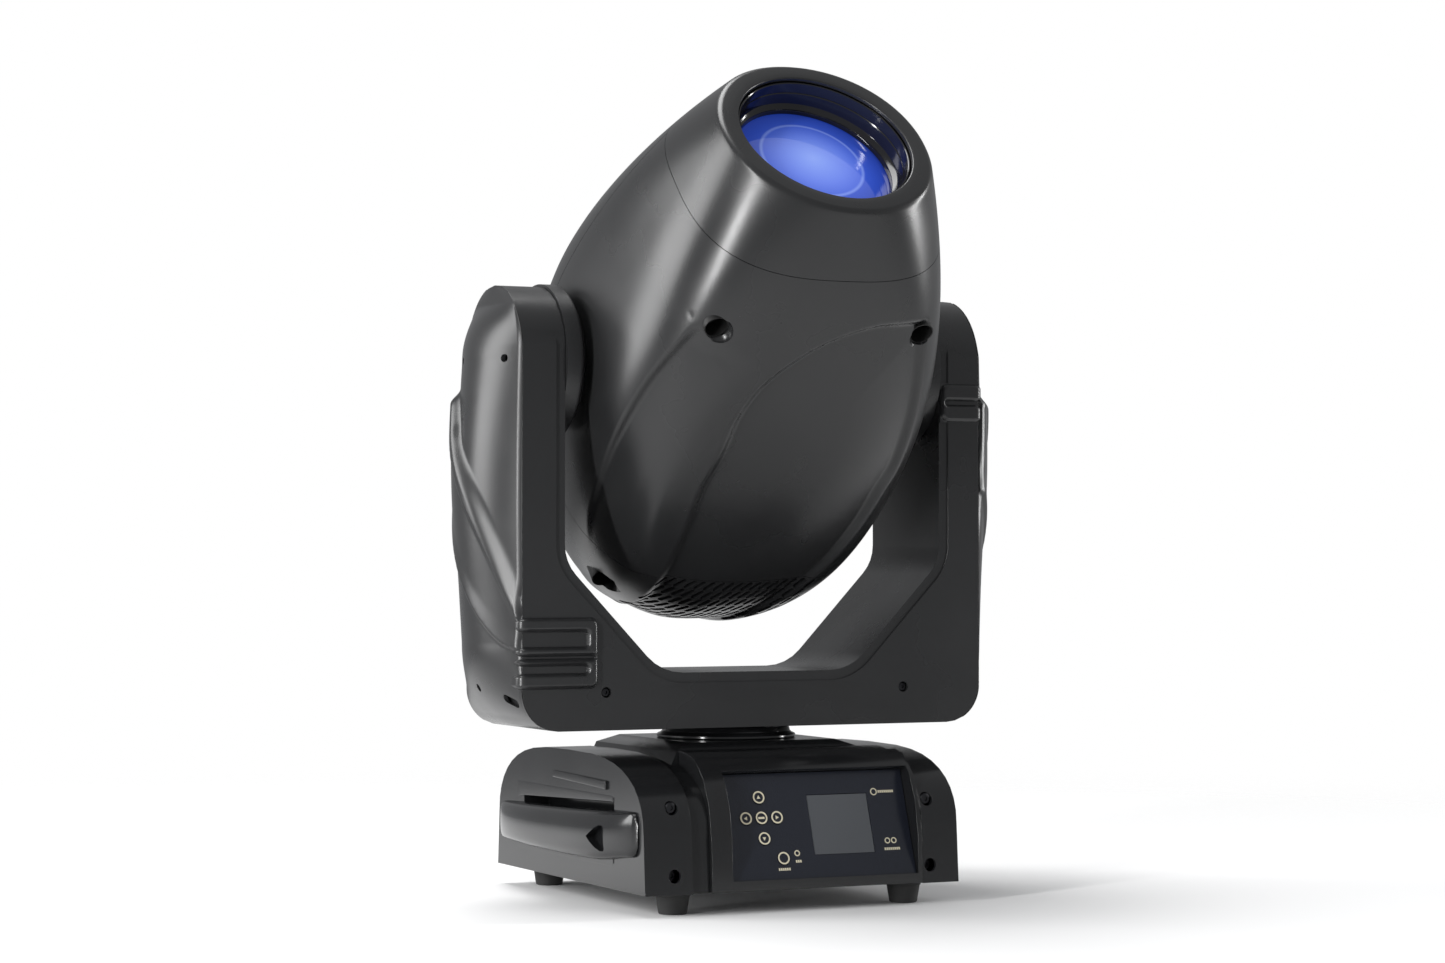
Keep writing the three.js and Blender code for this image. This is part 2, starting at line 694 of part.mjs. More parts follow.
addPiece(head, 'head_cap', cut(
  headShell.intersect(slab(headSeamZ + gap / 2, 300)),
  bar('z', 200, 260, headBoreRadius, [0, 0], headBoreRadius, 48),
), black);

function screwHoles(x, z) {
  return [x, -x].map((side) => bar('y', -200, -60, 8, [z, side], 8, 16));
}

const shaftHole = bar('x', -200, 200, tiltShaftRadius + 2, [0, 0]);
const headMiddle = cut(headShell.intersect(slab(headVentZ + gap / 2, headSeamZ - gap / 2)), shaftHole);
const backOf = (y) => block(-300, 300, y, 300, -300, 300);
const bodySide = cut(headMiddle, backOf(headBackSeamY - gap / 2));
addPiece(head, 'head_body', cut(bodySide, ...screwHoles(88, 136)), black);
addPiece(head, 'head_back_cover', headMiddle.intersect(backOf(headBackSeamY + gap / 2)), black);

// Slanted slots in three rows around the front of the rear cowl, and straight ones in its end.
function ventSlots() {
  const slant = 28;
  const slots = [];
  for (const [row, z] of [-112, -132, -152].entries()) {
    for (const x of steps(-63, 63, 6)) {
      slots.push(block(-4, 4, -200, -40, -8, 8).rotate([0, slant, 0]).translate([x + 5 * row, 0, z]));
    }
  }
  for (const y of steps(-36, 36, 4)) {
    slots.push(block(-34, 34, y - 3, y + 3, headRear - 5, headRear + 10));
  }
  return slots;
}

const rearShell = headShell.intersect(slab(-300, headVentZ - gap / 2));
addPiece(head, 'rear_cowl', cut(rearShell, ...ventSlots(), ...screwHoles(96, -136)), black);

// Front optics: the barrel behind the ring, and a biconvex lens held inside it.
const barrelRadius = headBoreRadius - gap;
const lensRadius = 66;
addPiece(head, 'lens_barrel', cut(
  bar('z', 168, headFront - 3.6, barrelRadius, [0, 0], barrelRadius, 36),
  bar('z', lensZ - 1, 260, lensRadius + gap, [0, 0], lensRadius + gap, 36),
  bar('z', 160, 230, lensRadius - 5, [0, 0], lensRadius - 5, 36),
), blackGloss);

function lensProfile(radius, sag, thickness) {
  const curve = (sign) => steps(0, 1, 4).map((t) => new THREE.Vector2(
    radius * t, sign * (thickness / 2 + sag * (1 - t * t)),
  ));
  return [...curve(-1), ...curve(1).reverse()];
}

function lathe(profile, z, sides = 32) {
  const geometry = new THREE.LatheGeometry(profile, sides);
  geometry.rotateX(Math.PI / 2);
  geometry.translate(0, 0, z);
  return solidOf(geometry);
}

addPiece(head, 'front_lens', lathe(lensProfile(lensRadius, 5, 6), lensZ + 3.4), lensBlue);

// Structural frame: two bulkheads joined by side plates that carry the tilt shafts.
const [frameHalf, frameRear, frameFront] = [92, -62, 160];
const rods = [[-68, -52], [68, -52]];
function headFrame() {
  const bulkhead = (z) => block(-frameHalf, frameHalf, -66, 56, z, z + 3);
  const sidePlate = (side) => block(
    Math.min(side * frameHalf, side * (frameHalf - 4)), Math.max(side * frameHalf, side * (frameHalf - 4)),
    -66, 56, frameRear, frameFront + 3,
  );
  return cut(
    join(bulkhead(frameRear), bulkhead(frameFront), sidePlate(1), sidePlate(-1)),
    bar('z', -100, 0, 30), bar('z', 100, 200, 50, [0, 0]),
    bar('x', -200, 200, 12.5),
    ...rods.map((centre) => bar('z', -100, 200, 4 + gap, centre, undefined, 12)),
  );
}
addPiece(head, 'head_frame', headFrame(), aluminium);
for (const [i, name] of ['guide_rod_left', 'guide_rod_right'].entries()) {
  addPiece(head, name, bar('z', frameRear - 2, frameFront + 5, 4, rods[i], undefined, 12), steel);
}

// Hollow tilt shafts, flanged against the side plates; the left one carries the driven pulley.
function tiltShaft(side) {
  const [a, b] = [frameHalf + gap, tiltBeltX + beltHalf + 1];
  const flange = side > 0 ? [a, a + 5] : [-a - 5, -a];
  const shaft = side > 0 ? [a, 182] : [-b, -a];
  const parts = [bar('x', ...shaft, tiltShaftRadius), bar('x', ...flange, 34)];
  if (side < 0) parts.push(bar('x', -tiltBeltX - beltHalf, -tiltBeltX + beltHalf, pulleyRadius));
  return cut(join(...parts), bar('x', -220, 220, 12));
}
addPiece(head, 'tilt_shaft_left', tiltShaft(-1), steel);
addPiece(head, 'tilt_shaft_right', tiltShaft(1), steel);

// Light source, heat sink and fan, from the frame back to the cowl.
addPiece(head, 'light_engine', cut(
  join(block(-38, 38, -38, 38, -112, -84), bar('z', -84, frameRear - gap, 32, [0, 0], 28)),
  bar('z', -80, -50, 24, [0, 0], 26),
), { color: 0xcfc9a8, roughness: 0.4, metalness: 0.2 });

function heatSink() {
  const base = block(-52, 52, -52, 52, -120, -112 - gap);
  const fins = steps(-50, 50, 10).map((x) => block(x - 1, x + 1, -52, 52, -172, -119));
  return join(base, ...fins);
}
addPiece(head, 'heat_sink', heatSink(), aluminium);

function fanRotor() {
  const blade = (i) => block(-1, 1, 14, 44, -5, 5).rotate([0, 35, 0]).rotate([0, 0, (360 / 7) * i]);
  return join(bar('z', -5.5, 5.5, 16), ...Array.from({ length: 7 }, (_, i) => blade(i)));
}
addPiece(head, 'cooling_fan', fanRotor(), motorBlack).position.z = -185;

// Effect wheels on opposite sides of the beam, each with a ring of apertures that crosses the optical axis.
const wheelOffset = 40;
function effectWheel(apertures, hole, towardsBeam) {
  const holes = Array.from({ length: apertures }, (_, i) => {
    const angle = (2 * Math.PI * i) / apertures + towardsBeam * (Math.PI / 2);
    const centre = [wheelOffset * Math.cos(angle), wheelOffset * Math.sin(angle)];
    return bar('z', -5, 5, hole, centre, hole, 10);
  });
  return join(cut(bar('z', -1, 1, 56, [0, 0], 56, 28), ...holes), bar('z', -4, 4, 7, [0, 0], 7, 16));
}
const colourWheel = addPiece(head, 'colour_wheel', effectWheel(8, 13, 1), aluminium);
colourWheel.position.set(0, -wheelOffset, -46);
const goboWheel = addPiece(head, 'gobo_wheel', effectWheel(7, 14, -1), steel);
goboWheel.position.set(0, wheelOffset, -34);

// Focus and zoom carriages that slide on the guide rods.
function carriage(lensSize) {
  return cut(
    join(block(-80, 80, -62, -42, -4, 4), bar('z', -4, 4, lensSize + 6, [0, 0], lensSize + 6, 28)),
    ...rods.map((centre) => bar('z', -10, 10, 4 + gap, centre, undefined, 12)),
    bar('z', 1, 10, lensSize, [0, 0], lensSize, 28),
  );
}
addPiece(head, 'focus_carriage', carriage(38), motorBlack).position.z = 20;
addPiece(head, 'zoom_carriage', carriage(42), motorBlack).position.z = 95;

export default light;
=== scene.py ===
import json
import math

import bpy
import numpy as np
from mathutils import Matrix, Vector


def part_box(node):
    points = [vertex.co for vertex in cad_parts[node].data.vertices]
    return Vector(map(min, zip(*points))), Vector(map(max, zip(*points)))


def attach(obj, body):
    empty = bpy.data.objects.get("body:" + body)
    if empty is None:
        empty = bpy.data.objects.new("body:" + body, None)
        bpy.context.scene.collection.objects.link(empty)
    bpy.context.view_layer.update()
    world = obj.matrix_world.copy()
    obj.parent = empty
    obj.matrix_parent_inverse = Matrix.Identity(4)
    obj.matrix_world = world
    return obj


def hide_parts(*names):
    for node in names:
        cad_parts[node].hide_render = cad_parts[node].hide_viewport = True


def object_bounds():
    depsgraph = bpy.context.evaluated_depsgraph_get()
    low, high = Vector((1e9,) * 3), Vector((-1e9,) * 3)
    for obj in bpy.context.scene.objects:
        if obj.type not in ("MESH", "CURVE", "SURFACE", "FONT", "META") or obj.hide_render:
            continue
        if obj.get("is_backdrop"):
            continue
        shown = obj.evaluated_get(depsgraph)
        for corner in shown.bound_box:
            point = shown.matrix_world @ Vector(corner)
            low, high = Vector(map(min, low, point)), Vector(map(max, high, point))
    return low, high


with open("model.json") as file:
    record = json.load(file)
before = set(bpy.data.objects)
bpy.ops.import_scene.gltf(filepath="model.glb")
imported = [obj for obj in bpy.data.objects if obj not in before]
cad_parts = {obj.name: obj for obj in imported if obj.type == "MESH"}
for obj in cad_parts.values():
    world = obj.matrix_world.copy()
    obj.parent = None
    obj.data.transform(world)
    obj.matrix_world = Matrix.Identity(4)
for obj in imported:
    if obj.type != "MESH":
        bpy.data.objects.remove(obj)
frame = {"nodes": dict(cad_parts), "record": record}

cad_low, cad_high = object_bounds()

# ---- Places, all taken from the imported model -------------

MM = 0.001
joints = {j["name"]: j for j in frame["record"]["behaviour"]["joints"]}
tilt_axis = Vector(joints["tilt"]["pos_m"])
beam = Vector(joints["focus_slide"]["axis"]).normalized()
press = Vector(joints["press_menu"]["axis"]).normalized()
sideways = Vector((1, 0, 0))
rearward = Vector((0, 1, 0))
upward = Vector((0, 0, 1))


def placed(x, y, z, origin):
    """Millimetres along three directions from an origin, as a matrix into the row frame."""
    turn = Matrix((x, y, z)).transposed().to_4x4()
    return Matrix.Translation(origin) @ turn @ Matrix.Scale(MM, 4)


def middle(node):
    low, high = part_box(node)
    return (low + high) / 2


def linked(name, data):
    obj = bpy.data.objects.new(name, data)
    bpy.context.collection.objects.link(obj)
    return obj


PANEL_HALF_THICKNESS = 1.5
FLOOR = placed(sideways, rearward, upward, Vector((0, 0, cad_low.z)))
BASE = placed(sideways, rearward, upward, Vector((0, middle("base_chassis").y, cad_low.z)))
HEAD = placed(sideways, beam.cross(sideways), beam, tilt_axis)
panel_front = middle("control_panel") - press * PANEL_HALF_THICKNESS * MM
PANEL = placed(sideways, press, sideways.cross(press), panel_front)
MIRROR_X = Matrix.Scale(-1, 4, sideways)
MIRROR_Y = Matrix.Scale(-1, 4, rearward)

# ---- Camera ----------------------------------------------

camera_data = bpy.data.cameras.new("camera")
camera_data.sensor_width = 36
camera_data.lens = 82.2
camera = linked("camera", camera_data)
bpy.context.scene.camera = camera
camera.location = (-1.150, -2.410, 0.264)
yaw, pitch = math.radians(25.45), math.radians(1.2)
camera.rotation_euler = (math.pi / 2 + pitch, 0, -yaw)

# ---- Materials -------------------------------------------

# Noise scales are per metre and bump depths in metres.
CLOUD_SCALE = 9
GRAIN_SCALE, GRAIN_DEPTH = 2600, 0.00006
STREAK_SCALE, STREAK_DEPTH = 180, 0.00005
DUST_SCALE = 60
PITTED_SCALE, PITTED_DEPTH = 1400, 0.0002


def shader(name, colour, roughness, **sockets):
    material = bpy.data.materials.new(name)
    material.use_nodes = True
    nodes = material.node_tree.nodes
    bsdf = nodes["Principled BSDF"]
    bsdf.inputs["Base Color"].default_value = (*colour, 1)
    bsdf.inputs["Roughness"].default_value = roughness
    for socket, value in sockets.items():
        bsdf.inputs[socket.replace("_", " ")].default_value = value
    return material, nodes, material.node_tree.links, bsdf


def noise(nodes, links, scale, detail, stretch=(1, 1, 1)):
    where = nodes.new("ShaderNodeTexCoord")
    mapping = nodes.new("ShaderNodeMapping")
    mapping.inputs["Scale"].default_value = stretch
    texture = nodes.new("ShaderNodeTexNoise")
    texture.inputs["Scale"].default_value = scale
    texture.inputs["Detail"].default_value = detail
    links.new(where.outputs["Object"], mapping.inputs["Vector"])
    links.new(mapping.outputs["Vector"], texture.inputs["Vector"])
    return texture.outputs["Fac"]


def spread(nodes, links, value, low, high):
    """Stretches a noise value's useful middle over a range of numbers."""
    node = nodes.new("ShaderNodeMapRange")
    node.inputs["From Min"].default_value = 0.3
    node.inputs["From Max"].default_value = 0.7
    node.inputs["To Min"].default_value = low
    node.inputs["To Max"].default_value = high
    links.new(value, node.inputs["Value"])
    return node.outputs["Result"]


def blend_colours(nodes, links, factor, first, second):
    mix = nodes.new("ShaderNodeMix")
    mix.data_type = "RGBA"
    links.new(factor, mix.inputs["Factor"])
    mix.inputs["A"].default_value = (*first, 1)
    mix.inputs["B"].default_value = (*second, 1)
    return mix.outputs["Result"]


def bump(nodes, links, bsdf, height, strength, distance):
    node = nodes.new("ShaderNodeBump")
    node.inputs["Strength"].default_value = strength
    node.inputs["Distance"].default_value = distance
    links.new(height, node.inputs["Height"])
    links.new(node.outputs["Normal"], bsdf.inputs["Normal"])


def moulded(name, colour, roughness, grain=0.25, vary=0.06, worn=1.12):
    """Moulded plastic: a fine spark-eroded grain, and slow changes in gloss and tone."""
    material, nodes, links, bsdf = shader(name, colour, roughness)
    clouds = noise(nodes, links, CLOUD_SCALE, 4)
    links.new(spread(nodes, links, clouds, roughness - vary, roughness + vary), bsdf.inputs["Roughness"])
    pale = tuple(c * worn for c in colour)
    links.new(blend_colours(nodes, links, clouds, colour, pale), bsdf.inputs["Base Color"])
    bump(nodes, links, bsdf, noise(nodes, links, GRAIN_SCALE, 2), grain, GRAIN_DEPTH)
    return material


def metal(name, colour, roughness, stretch=(1, 1, 30)):
    """Brushed metal: fine streaks along one direction, some of them duller."""
    material, nodes, links, bsdf = shader(name, colour, roughness, Metallic=1.0)
    streaks = noise(nodes, links, STREAK_SCALE, 4, stretch)
    links.new(spread(nodes, links, streaks, roughness - 0.08, roughness + 0.1), bsdf.inputs["Roughness"])
    dull = tuple(c * 0.8 for c in colour)
    links.new(blend_colours(nodes, links, streaks, colour, dull), bsdf.inputs["Base Color"])
    bump(nodes, links, bsdf, streaks, 0.3, STREAK_DEPTH)
    return material


def rubbery(name, colour):
    """Rubber with fine pits and a little pale dust."""
    material, nodes, links, bsdf = shader(name, colour, 0.7)
    dust = noise(nodes, links, DUST_SCALE, 6)
    pale = tuple(c * 2.2 + 0.004 for c in colour)
    links.new(blend_colours(nodes, links, dust, colour, pale), bsdf.inputs["Base Color"])
    links.new(spread(nodes, links, dust, 0.62, 0.8), bsdf.inputs["Roughness"])
    bump(nodes, links, bsdf, noise(nodes, links, PITTED_SCALE, 4), 0.5, PITTED_DEPTH)
    return material


def lens_glass():
    """Blue coated glass with painted light: a small painted glow, paler towards a disc in the middle, and
    painted shade darker at the rim.
    """
    material, nodes, links, bsdf = shader("lens_blue_painted_glow", (0.03, 0.09, 0.6), 0.04)
    bsdf.inputs["Coat Weight"].default_value = 1
    bsdf.inputs["Coat Roughness"].default_value = 0.02
    where = nodes.new("ShaderNodeVertexColor")
    where.layer_name = "radius"
    split = nodes.new("ShaderNodeSeparateColor")
    links.new(where.outputs["Color"], split.inputs["Color"])
    ramp = nodes.new("ShaderNodeValToRGB")
    # Painted light in the colour: a paler disc in the middle with a thin paler ring round it, and painted
    # shade darkening to the rim.
    steps = [
        (0.0, (0.24, 0.36, 0.9)), (0.42, (0.13, 0.22, 0.82)), (0.60, (0.075, 0.15, 0.74)),
        (0.63, (0.2, 0.3, 0.85)), (0.66, (0.04, 0.10, 0.62)), (0.88, (0.022, 0.066, 0.5)),
        (1.0, (0.008, 0.02, 0.2)),
    ]
    while len(ramp.color_ramp.elements) < len(steps):
        ramp.color_ramp.elements.new(0.5)
    for element, (at, colour) in zip(ramp.color_ramp.elements, steps):
        element.position = at
        element.color = (*colour, 1)
    links.new(split.outputs["Red"], ramp.inputs["Fac"])
    links.new(ramp.outputs["Color"], bsdf.inputs["Base Color"])
    # The same colours also glow a little through emission: a painted glow.
    links.new(ramp.outputs["Color"], bsdf.inputs["Emission Color"])
    bsdf.inputs["Emission Strength"].default_value = 0.35
    return material


housing = moulded("housing_black", (0.0145, 0.0148, 0.0155), 0.29)
base_black = moulded("base_black", (0.0085, 0.0088, 0.0095), 0.17, grain=0.12, vary=0.04)
gloss = moulded("gloss_black", (0.008, 0.008, 0.010), 0.12, grain=0.05, vary=0.03)
shadow_black = moulded("shadow_black", (0.004, 0.004, 0.004), 0.6)
panel_ink = moulded("panel_overlay", (0.010, 0.012, 0.019), 0.2, grain=0.1, vary=0.02)
screen_grey = moulded("screen_grey", (0.075, 0.08, 0.088), 0.12, grain=0.0, vary=0.02, worn=1.0)
legend = moulded("legend_cream", (0.62, 0.57, 0.42), 0.5, grain=0.1, vary=0.05, worn=1.0)
screw_black = metal("screw_black", (0.035, 0.035, 0.038), 0.4)
steel = metal("steel", (0.5, 0.51, 0.53), 0.34)
dark_steel = metal("dark_steel", (0.06, 0.062, 0.066), 0.42)
aluminium = metal("aluminium", (0.66, 0.67, 0.69), 0.4, (30, 1, 1))
brass = metal("brass_contact", (0.75, 0.55, 0.25), 0.3)
motor_black = moulded("motor_black", (0.02, 0.02, 0.022), 0.45, grain=0.6)
rubber = rubbery("rubber_black", (0.010, 0.010, 0.010))
ceramic = moulded("lamp_module", (0.5, 0.46, 0.34), 0.5)
lens_blue_painted_glow = lens_glass()

# ---- Mesh helpers ----------------------------------------


def temporary(verts, faces):
    mesh = bpy.data.meshes.new("temporary")
    mesh.from_pydata([tuple(v) for v in verts], [], [tuple(f) for f in faces])
    mesh.update()
    return linked("temporary", mesh)


def settle(obj):
    """Applies an object's modifiers to its mesh."""
    bpy.context.view_layer.update()
    evaluated = obj.evaluated_get(bpy.context.evaluated_depsgraph_get())
    mesh = bpy.data.meshes.new_from_object(evaluated)
    obj.modifiers.clear()
    old = obj.data
    obj.data = mesh
    bpy.data.meshes.remove(old)
    return obj


def combine(obj, other, operation):
    modifier = obj.modifiers.new("combine", "BOOLEAN")
    modifier.operation = operation
    modifier.solver = "MANIFOLD"
    modifier.object = other
    return settle(obj)


def remove(obj):
    mesh = obj.data
    bpy.data.objects.remove(obj)
    bpy.data.meshes.remove(mesh)


def carve(obj, *cutters):
    for cutter in cutters:
        combine(obj, cutter, "DIFFERENCE")
        remove(cutter)
    return obj


def keep(obj, other):
    combine(obj, other, "INTERSECT")
    remove(other)
    return obj


def copy_of(obj):
    return linked("temporary", obj.data.copy())


def moved(obj, matrix):
    obj.data.transform(matrix)
    if matrix.determinant() < 0:
        obj.data.flip_normals()
    return obj


def bevelled(obj, width, segments=3):
    """Merges an object's coplanar faces and rounds its sharp edges."""
    tidy = obj.modifiers.new("tidy", "DECIMATE")
    tidy.decimate_type = "DISSOLVE"
    tidy.angle_limit = math.radians(0.6)
    modifier = obj.modifiers.new("bevel", "BEVEL")
    modifier.width = width
    modifier.segments = segments
    modifier.limit_method = "ANGLE"
    modifier.angle_limit = math.radians(30)
    modifier.use_clamp_overlap = True
    return settle(obj)


FLAT_SIDED = 35  # up to this sharp angle, flat faces are kept flat beside rounded edges


def finish(obj, name, place, body, material, replaces=(), sharp=32):
    """Places a shape made in millimetres, names it, gives it its look and lets it ride its body."""
    moved(obj, place)
    obj.data.materials.clear()
    obj.data.materials.append(material)
    obj.data.shade_smooth()
    obj.data.set_sharp_from_angle(angle=math.radians(sharp))
    if sharp <= FLAT_SIDED:
        weighted = obj.modifiers.new("weighted", "WEIGHTED_NORMAL")
        weighted.keep_sharp = True
        weighted.weight = 90
        settle(obj)
    obj.name = name
    obj.data.name = name
    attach(obj, body)
    if replaces:
        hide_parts(*replaces)
    return obj


def axes_of(axis, a, b, c):
    """Two coordinates across an axis and one along it, as x, y, z."""
    return {"x": (c, a, b), "y": (a, c, b), "z": (a, b, c)}[axis]


def extrude(outline, start, end, axis="z"):
    """An outline pulled along an axis: (y, z) along x, (x, z) along y, (x, y) along z."""
    area = sum(p[0] * q[1] - q[0] * p[1] for p, q in zip(outline, outline[1:] + outline[:1]))
    if (area > 0) == (axis == "y"):
        outline = outline[::-1]
    count = len(outline)
    verts = [axes_of(axis, a, b, h) for h in (start, end) for a, b in outline]
    faces = [tuple(range(count))[::-1], tuple(range(count, 2 * count))]
    faces += [(i, (i + 1) % count, (i + 1) % count + count, i + count) for i in range(count)]
    return temporary(verts, faces)


def box(x0, x1, y0, y1, z0, z1):
    return extrude([(x0, y0), (x1, y0), (x1, y1), (x0, y1)], z0, z1)


ON_AXIS = 1e-6  # a radius below this is a point on the axis


def lathe(profile, axis="z", centre=(0, 0), sides=72):
    """A profile of (radius, height) turned about an axis: it ends on the axis, or closes on itself."""
    closed = profile[0][0] > ON_AXIS
    verts, starts = [], []
    for radius, height in profile:
        starts.append((len(verts), radius > ON_AXIS))
        for k in range(sides if radius > ON_AXIS else 1):
            angle = 2 * math.pi * k / sides
            across = (centre[0] + radius * math.cos(angle), centre[1] + radius * math.sin(angle))
            verts.append(axes_of(axis, *across, height))
    faces = []
    pairs = list(zip(starts, starts[1:])) + ([(starts[-1], starts[0])] if closed else [])
    for (a, a_ring), (b, b_ring) in pairs:
        for k in range(sides):
            n = (k + 1) % sides
            if a_ring and b_ring:
                faces.append((a + k, a + n, b + n, b + k))
            elif b_ring:
                faces.append((a, b + n, b + k))
            elif a_ring:
                faces.append((a + k, a + n, b))
    if axis == "y":
        faces = [f[::-1] for f in faces]
    return outward(temporary(verts, faces))


def outward(obj):
    """Turns a closed mesh's faces outward."""
    mesh = obj.data
    mesh.calc_loop_triangles()
    volume = 0.0
    for tri in mesh.loop_triangles:
        a, b, c = (mesh.vertices[i].co for i in tri.vertices)
        volume += a.dot(b.cross(c))
    if volume < 0:
        mesh.flip_normals()
    return obj


def rod(radius, start, end, axis="z", centre=(0, 0), sides=48):
    return lathe([(0, start), (radius, start), (radius, end), (0, end)], axis, centre, sides)


def skin(outer, inner):
    """A closed shell between two grids of points with the same rows and columns."""
    rows, columns = outer.shape[:2]
    verts = np.concatenate([outer.reshape(-1, 3), inner.reshape(-1, 3)])
    shift = rows * columns
    faces = []
    for i in range(rows - 1):
        for j in range(columns - 1):
            a, b = i * columns + j, (i + 1) * columns + j
            faces.append((a, a + 1, b + 1, b))
            faces.append((b + shift, b + 1 + shift, a + 1 + shift, a + shift))
    rim = [(0, j) for j in range(columns - 1)] + [(i, columns - 1) for i in range(rows - 1)]
    rim += [(rows - 1, j) for j in range(columns - 1, 0, -1)] + [(i, 0) for i in range(rows - 1, 0, -1)]
    loop = [i * columns + j for i, j in rim]
    for a, b in zip(loop, loop[1:] + loop[:1]):
        faces.append((b, a, a + shift, b + shift))
    return outward(temporary(verts, faces))


def rings(stack, closed=False):
    """A closed mesh over a stack of rings. Its ends are closed by fans, or the last ring joins the first."""
    count = stack[0].shape[0]
    verts = list(np.concatenate(stack))
    levels = [i * count for i in range(len(stack))]
    faces = []
    for a, b in list(zip(levels, levels[1:])) + ([(levels[-1], 0)] if closed else []):
        faces += [(a + k, a + (k + 1) % count, b + (k + 1) % count, b + k) for k in range(count)]
    if not closed:
        verts += [stack[0].mean(0), stack[-1].mean(0)]
        first, last, top = len(verts) - 2, len(verts) - 1, levels[-1]
        faces += [(first, (k + 1) % count, k) for k in range(count)]
        faces += [(last, top + k, top + (k + 1) % count) for k in range(count)]
    return outward(temporary(verts, faces))


def smooth(value, start, end):
    t = np.clip((value - start) / (end - start), 0, 1)
    return t * t * (3 - 2 * t)


def through(points):
    """A smooth curve through points, with ten samples from each to the next."""
    before, after = 2 * np.array(points[0]) - points[1], 2 * np.array(points[-1]) - points[-2]
    p = np.array([before, *points, after], float)
    out = []
    for i in range(1, len(p) - 2):
        a, b, c, d = p[i - 1:i + 3]
        for t in np.linspace(0, 1, 10, endpoint=False):
            curve = 2 * b + (c - a) * t + (2 * a - 5 * b + 4 * c - d) * t**2
            out.append(0.5 * (curve + (3 * b - a - 3 * c + d) * t**3))
    return np.array([*out, p[-2]])


RUN_ON = 40  # how many times its own length a line's end segment is run on


def beside(u, v, line):
    """Distance to a line, positive on its left as it runs."""
    best = np.full(u.shape, np.inf)
    side = np.zeros(u.shape)
    last = len(line) - 2
    for i, (a, b) in enumerate(zip(line, line[1:])):
        d = b - a
        t = ((u - a[0]) * d[0] + (v - a[1]) * d[1]) / d.dot(d)
        t = np.clip(t, -RUN_ON if i == 0 else 0, RUN_ON if i == last else 1)
        ru, rv = u - a[0] - t * d[0], v - a[1] - t * d[1]
        distance = np.hypot(ru, rv)
        closer = distance < best
        best = np.where(closer, distance, best)
        side = np.where(closer, np.sign(d[0] * rv - d[1] * ru), side)
    return best * side


def cad_shape(node, place):
    """A working copy of a modelled piece's mesh, in the millimetres of a place."""
    source = frame["nodes"][node]
    twin = copy_of(source)
    twin.data.transform(place.inverted() @ source.matrix_world)
    joined = twin.modifiers.new("weld", "WELD")
    joined.merge_threshold = 0.002
    return settle(twin)


# ---- Head shell ------------------------------------------

# Heights run along the beam from the tilt axis, and depths away from it to the front and the back.
HEAD_REAR, HEAD_FRONT = -204.0, 244.3
HALF_WIDTH, WIDEST_Z = 141.5, 21.8
FRONT_DEPTH, FRONT_DEEPEST_Z = 147.7, -81
BACK_DEPTH, BACK_DEEPEST_Z = 130.4, -66
RING_RADIUS, RING_POWER = 85.3, 1.74    # how the outline narrows towards the front ring
REAR_SHARE, REAR_POWER = 0.41, 2.2      # how much is left of it at the rear end, and how it narrows
SQUARENESS, SQUARE_REACH = 1.68, 228    # how far from round the sections are, and over what height
CAP_SEAM, VENT_SEAM, BACK_SEAM, SEAM = 188.8, -98.7, 62.0, 0.25
SHELL_THICKNESS = 7.0
FAR = 300                               # past every side of the object


def head_span(z, widest, widest_z):
    """Half the head's width or its depth, at a height."""
    ahead = np.clip(z - widest_z, 0, None) / (HEAD_FRONT - widest_z)
    behind = np.clip(widest_z - z, 0, None) / (widest_z - HEAD_REAR)
    to_ring = widest - (widest - RING_RADIUS) * ahead**RING_POWER
    to_rear = widest * (REAR_SHARE + (1 - REAR_SHARE) * np.sqrt(np.clip(1 - behind**REAR_POWER, 0, 1)))
    return np.where(z >= widest_z, to_ring, to_rear)


def head_width(z):
    return head_span(z, HALF_WIDTH, WIDEST_Z)


def front_depth(z):
    return head_span(z, FRONT_DEPTH, FRONT_DEEPEST_Z)


def squareness(z):
    """The power of a section's rounded square: 2 is an ellipse."""
    return 2 + SQUARENESS * np.clip(1 - ((z - WIDEST_Z) / SQUARE_REACH) ** 2, 0, 1)


def head_points(z, turn, inset):
    """Points of the head's surface at a height and an angle round the beam."""
    z, turn = np.broadcast_arrays(np.asarray(z, float), turn)
    power = squareness(z)
    c, s = np.cos(turn), np.sin(turn)
    reach = (np.abs(c) ** power + np.abs(s) ** power) ** (-1 / power)
    depth = np.where(s < 0, front_depth(z), head_span(z, BACK_DEPTH, BACK_DEEPEST_Z))
    x = (head_width(z) - inset) * reach * c
    y = (depth - inset) * reach * s
    return np.stack([x, y, z], -1)


def head_front(x, z):
    """Where the front surface lies beside and above the tilt axis."""
    power = float(squareness(z))
    across = abs(x) / float(head_width(z))
    return -float(front_depth(z)) * (1 - across**power) ** (1 / power)


# Points lie closer together round the front, which takes this share of the half turn to each side.
FRONT_SHARE, FRONT_POINTS, BACK_POINTS = 0.64, 361, 91
front_half = np.linspace(-FRONT_SHARE, FRONT_SHARE, FRONT_POINTS)
back_half = np.linspace(FRONT_SHARE, 2 - FRONT_SHARE, BACK_POINTS)[1:-1]
turns = -math.pi / 2 + math.pi * np.concatenate([front_half, back_half])
rear_levels = HEAD_REAR + np.array([0, 0.3, 1, 2, 3.4, 5.2])
levels = np.concatenate([rear_levels, np.linspace(HEAD_REAR + 8, CAP_SEAM + 6, 216)])
level_grid, turn_grid = np.meshgrid(levels, turns, indexing="ij")
bare = head_points(level_grid, turn_grid, 0)
steps_round = np.linalg.norm(np.diff(bare, axis=1), axis=2)
round_grid = np.concatenate([np.zeros((len(levels), 1)), np.cumsum(steps_round, axis=1)], axis=1)
round_grid -= round_grid[:, [FRONT_POINTS // 2]]


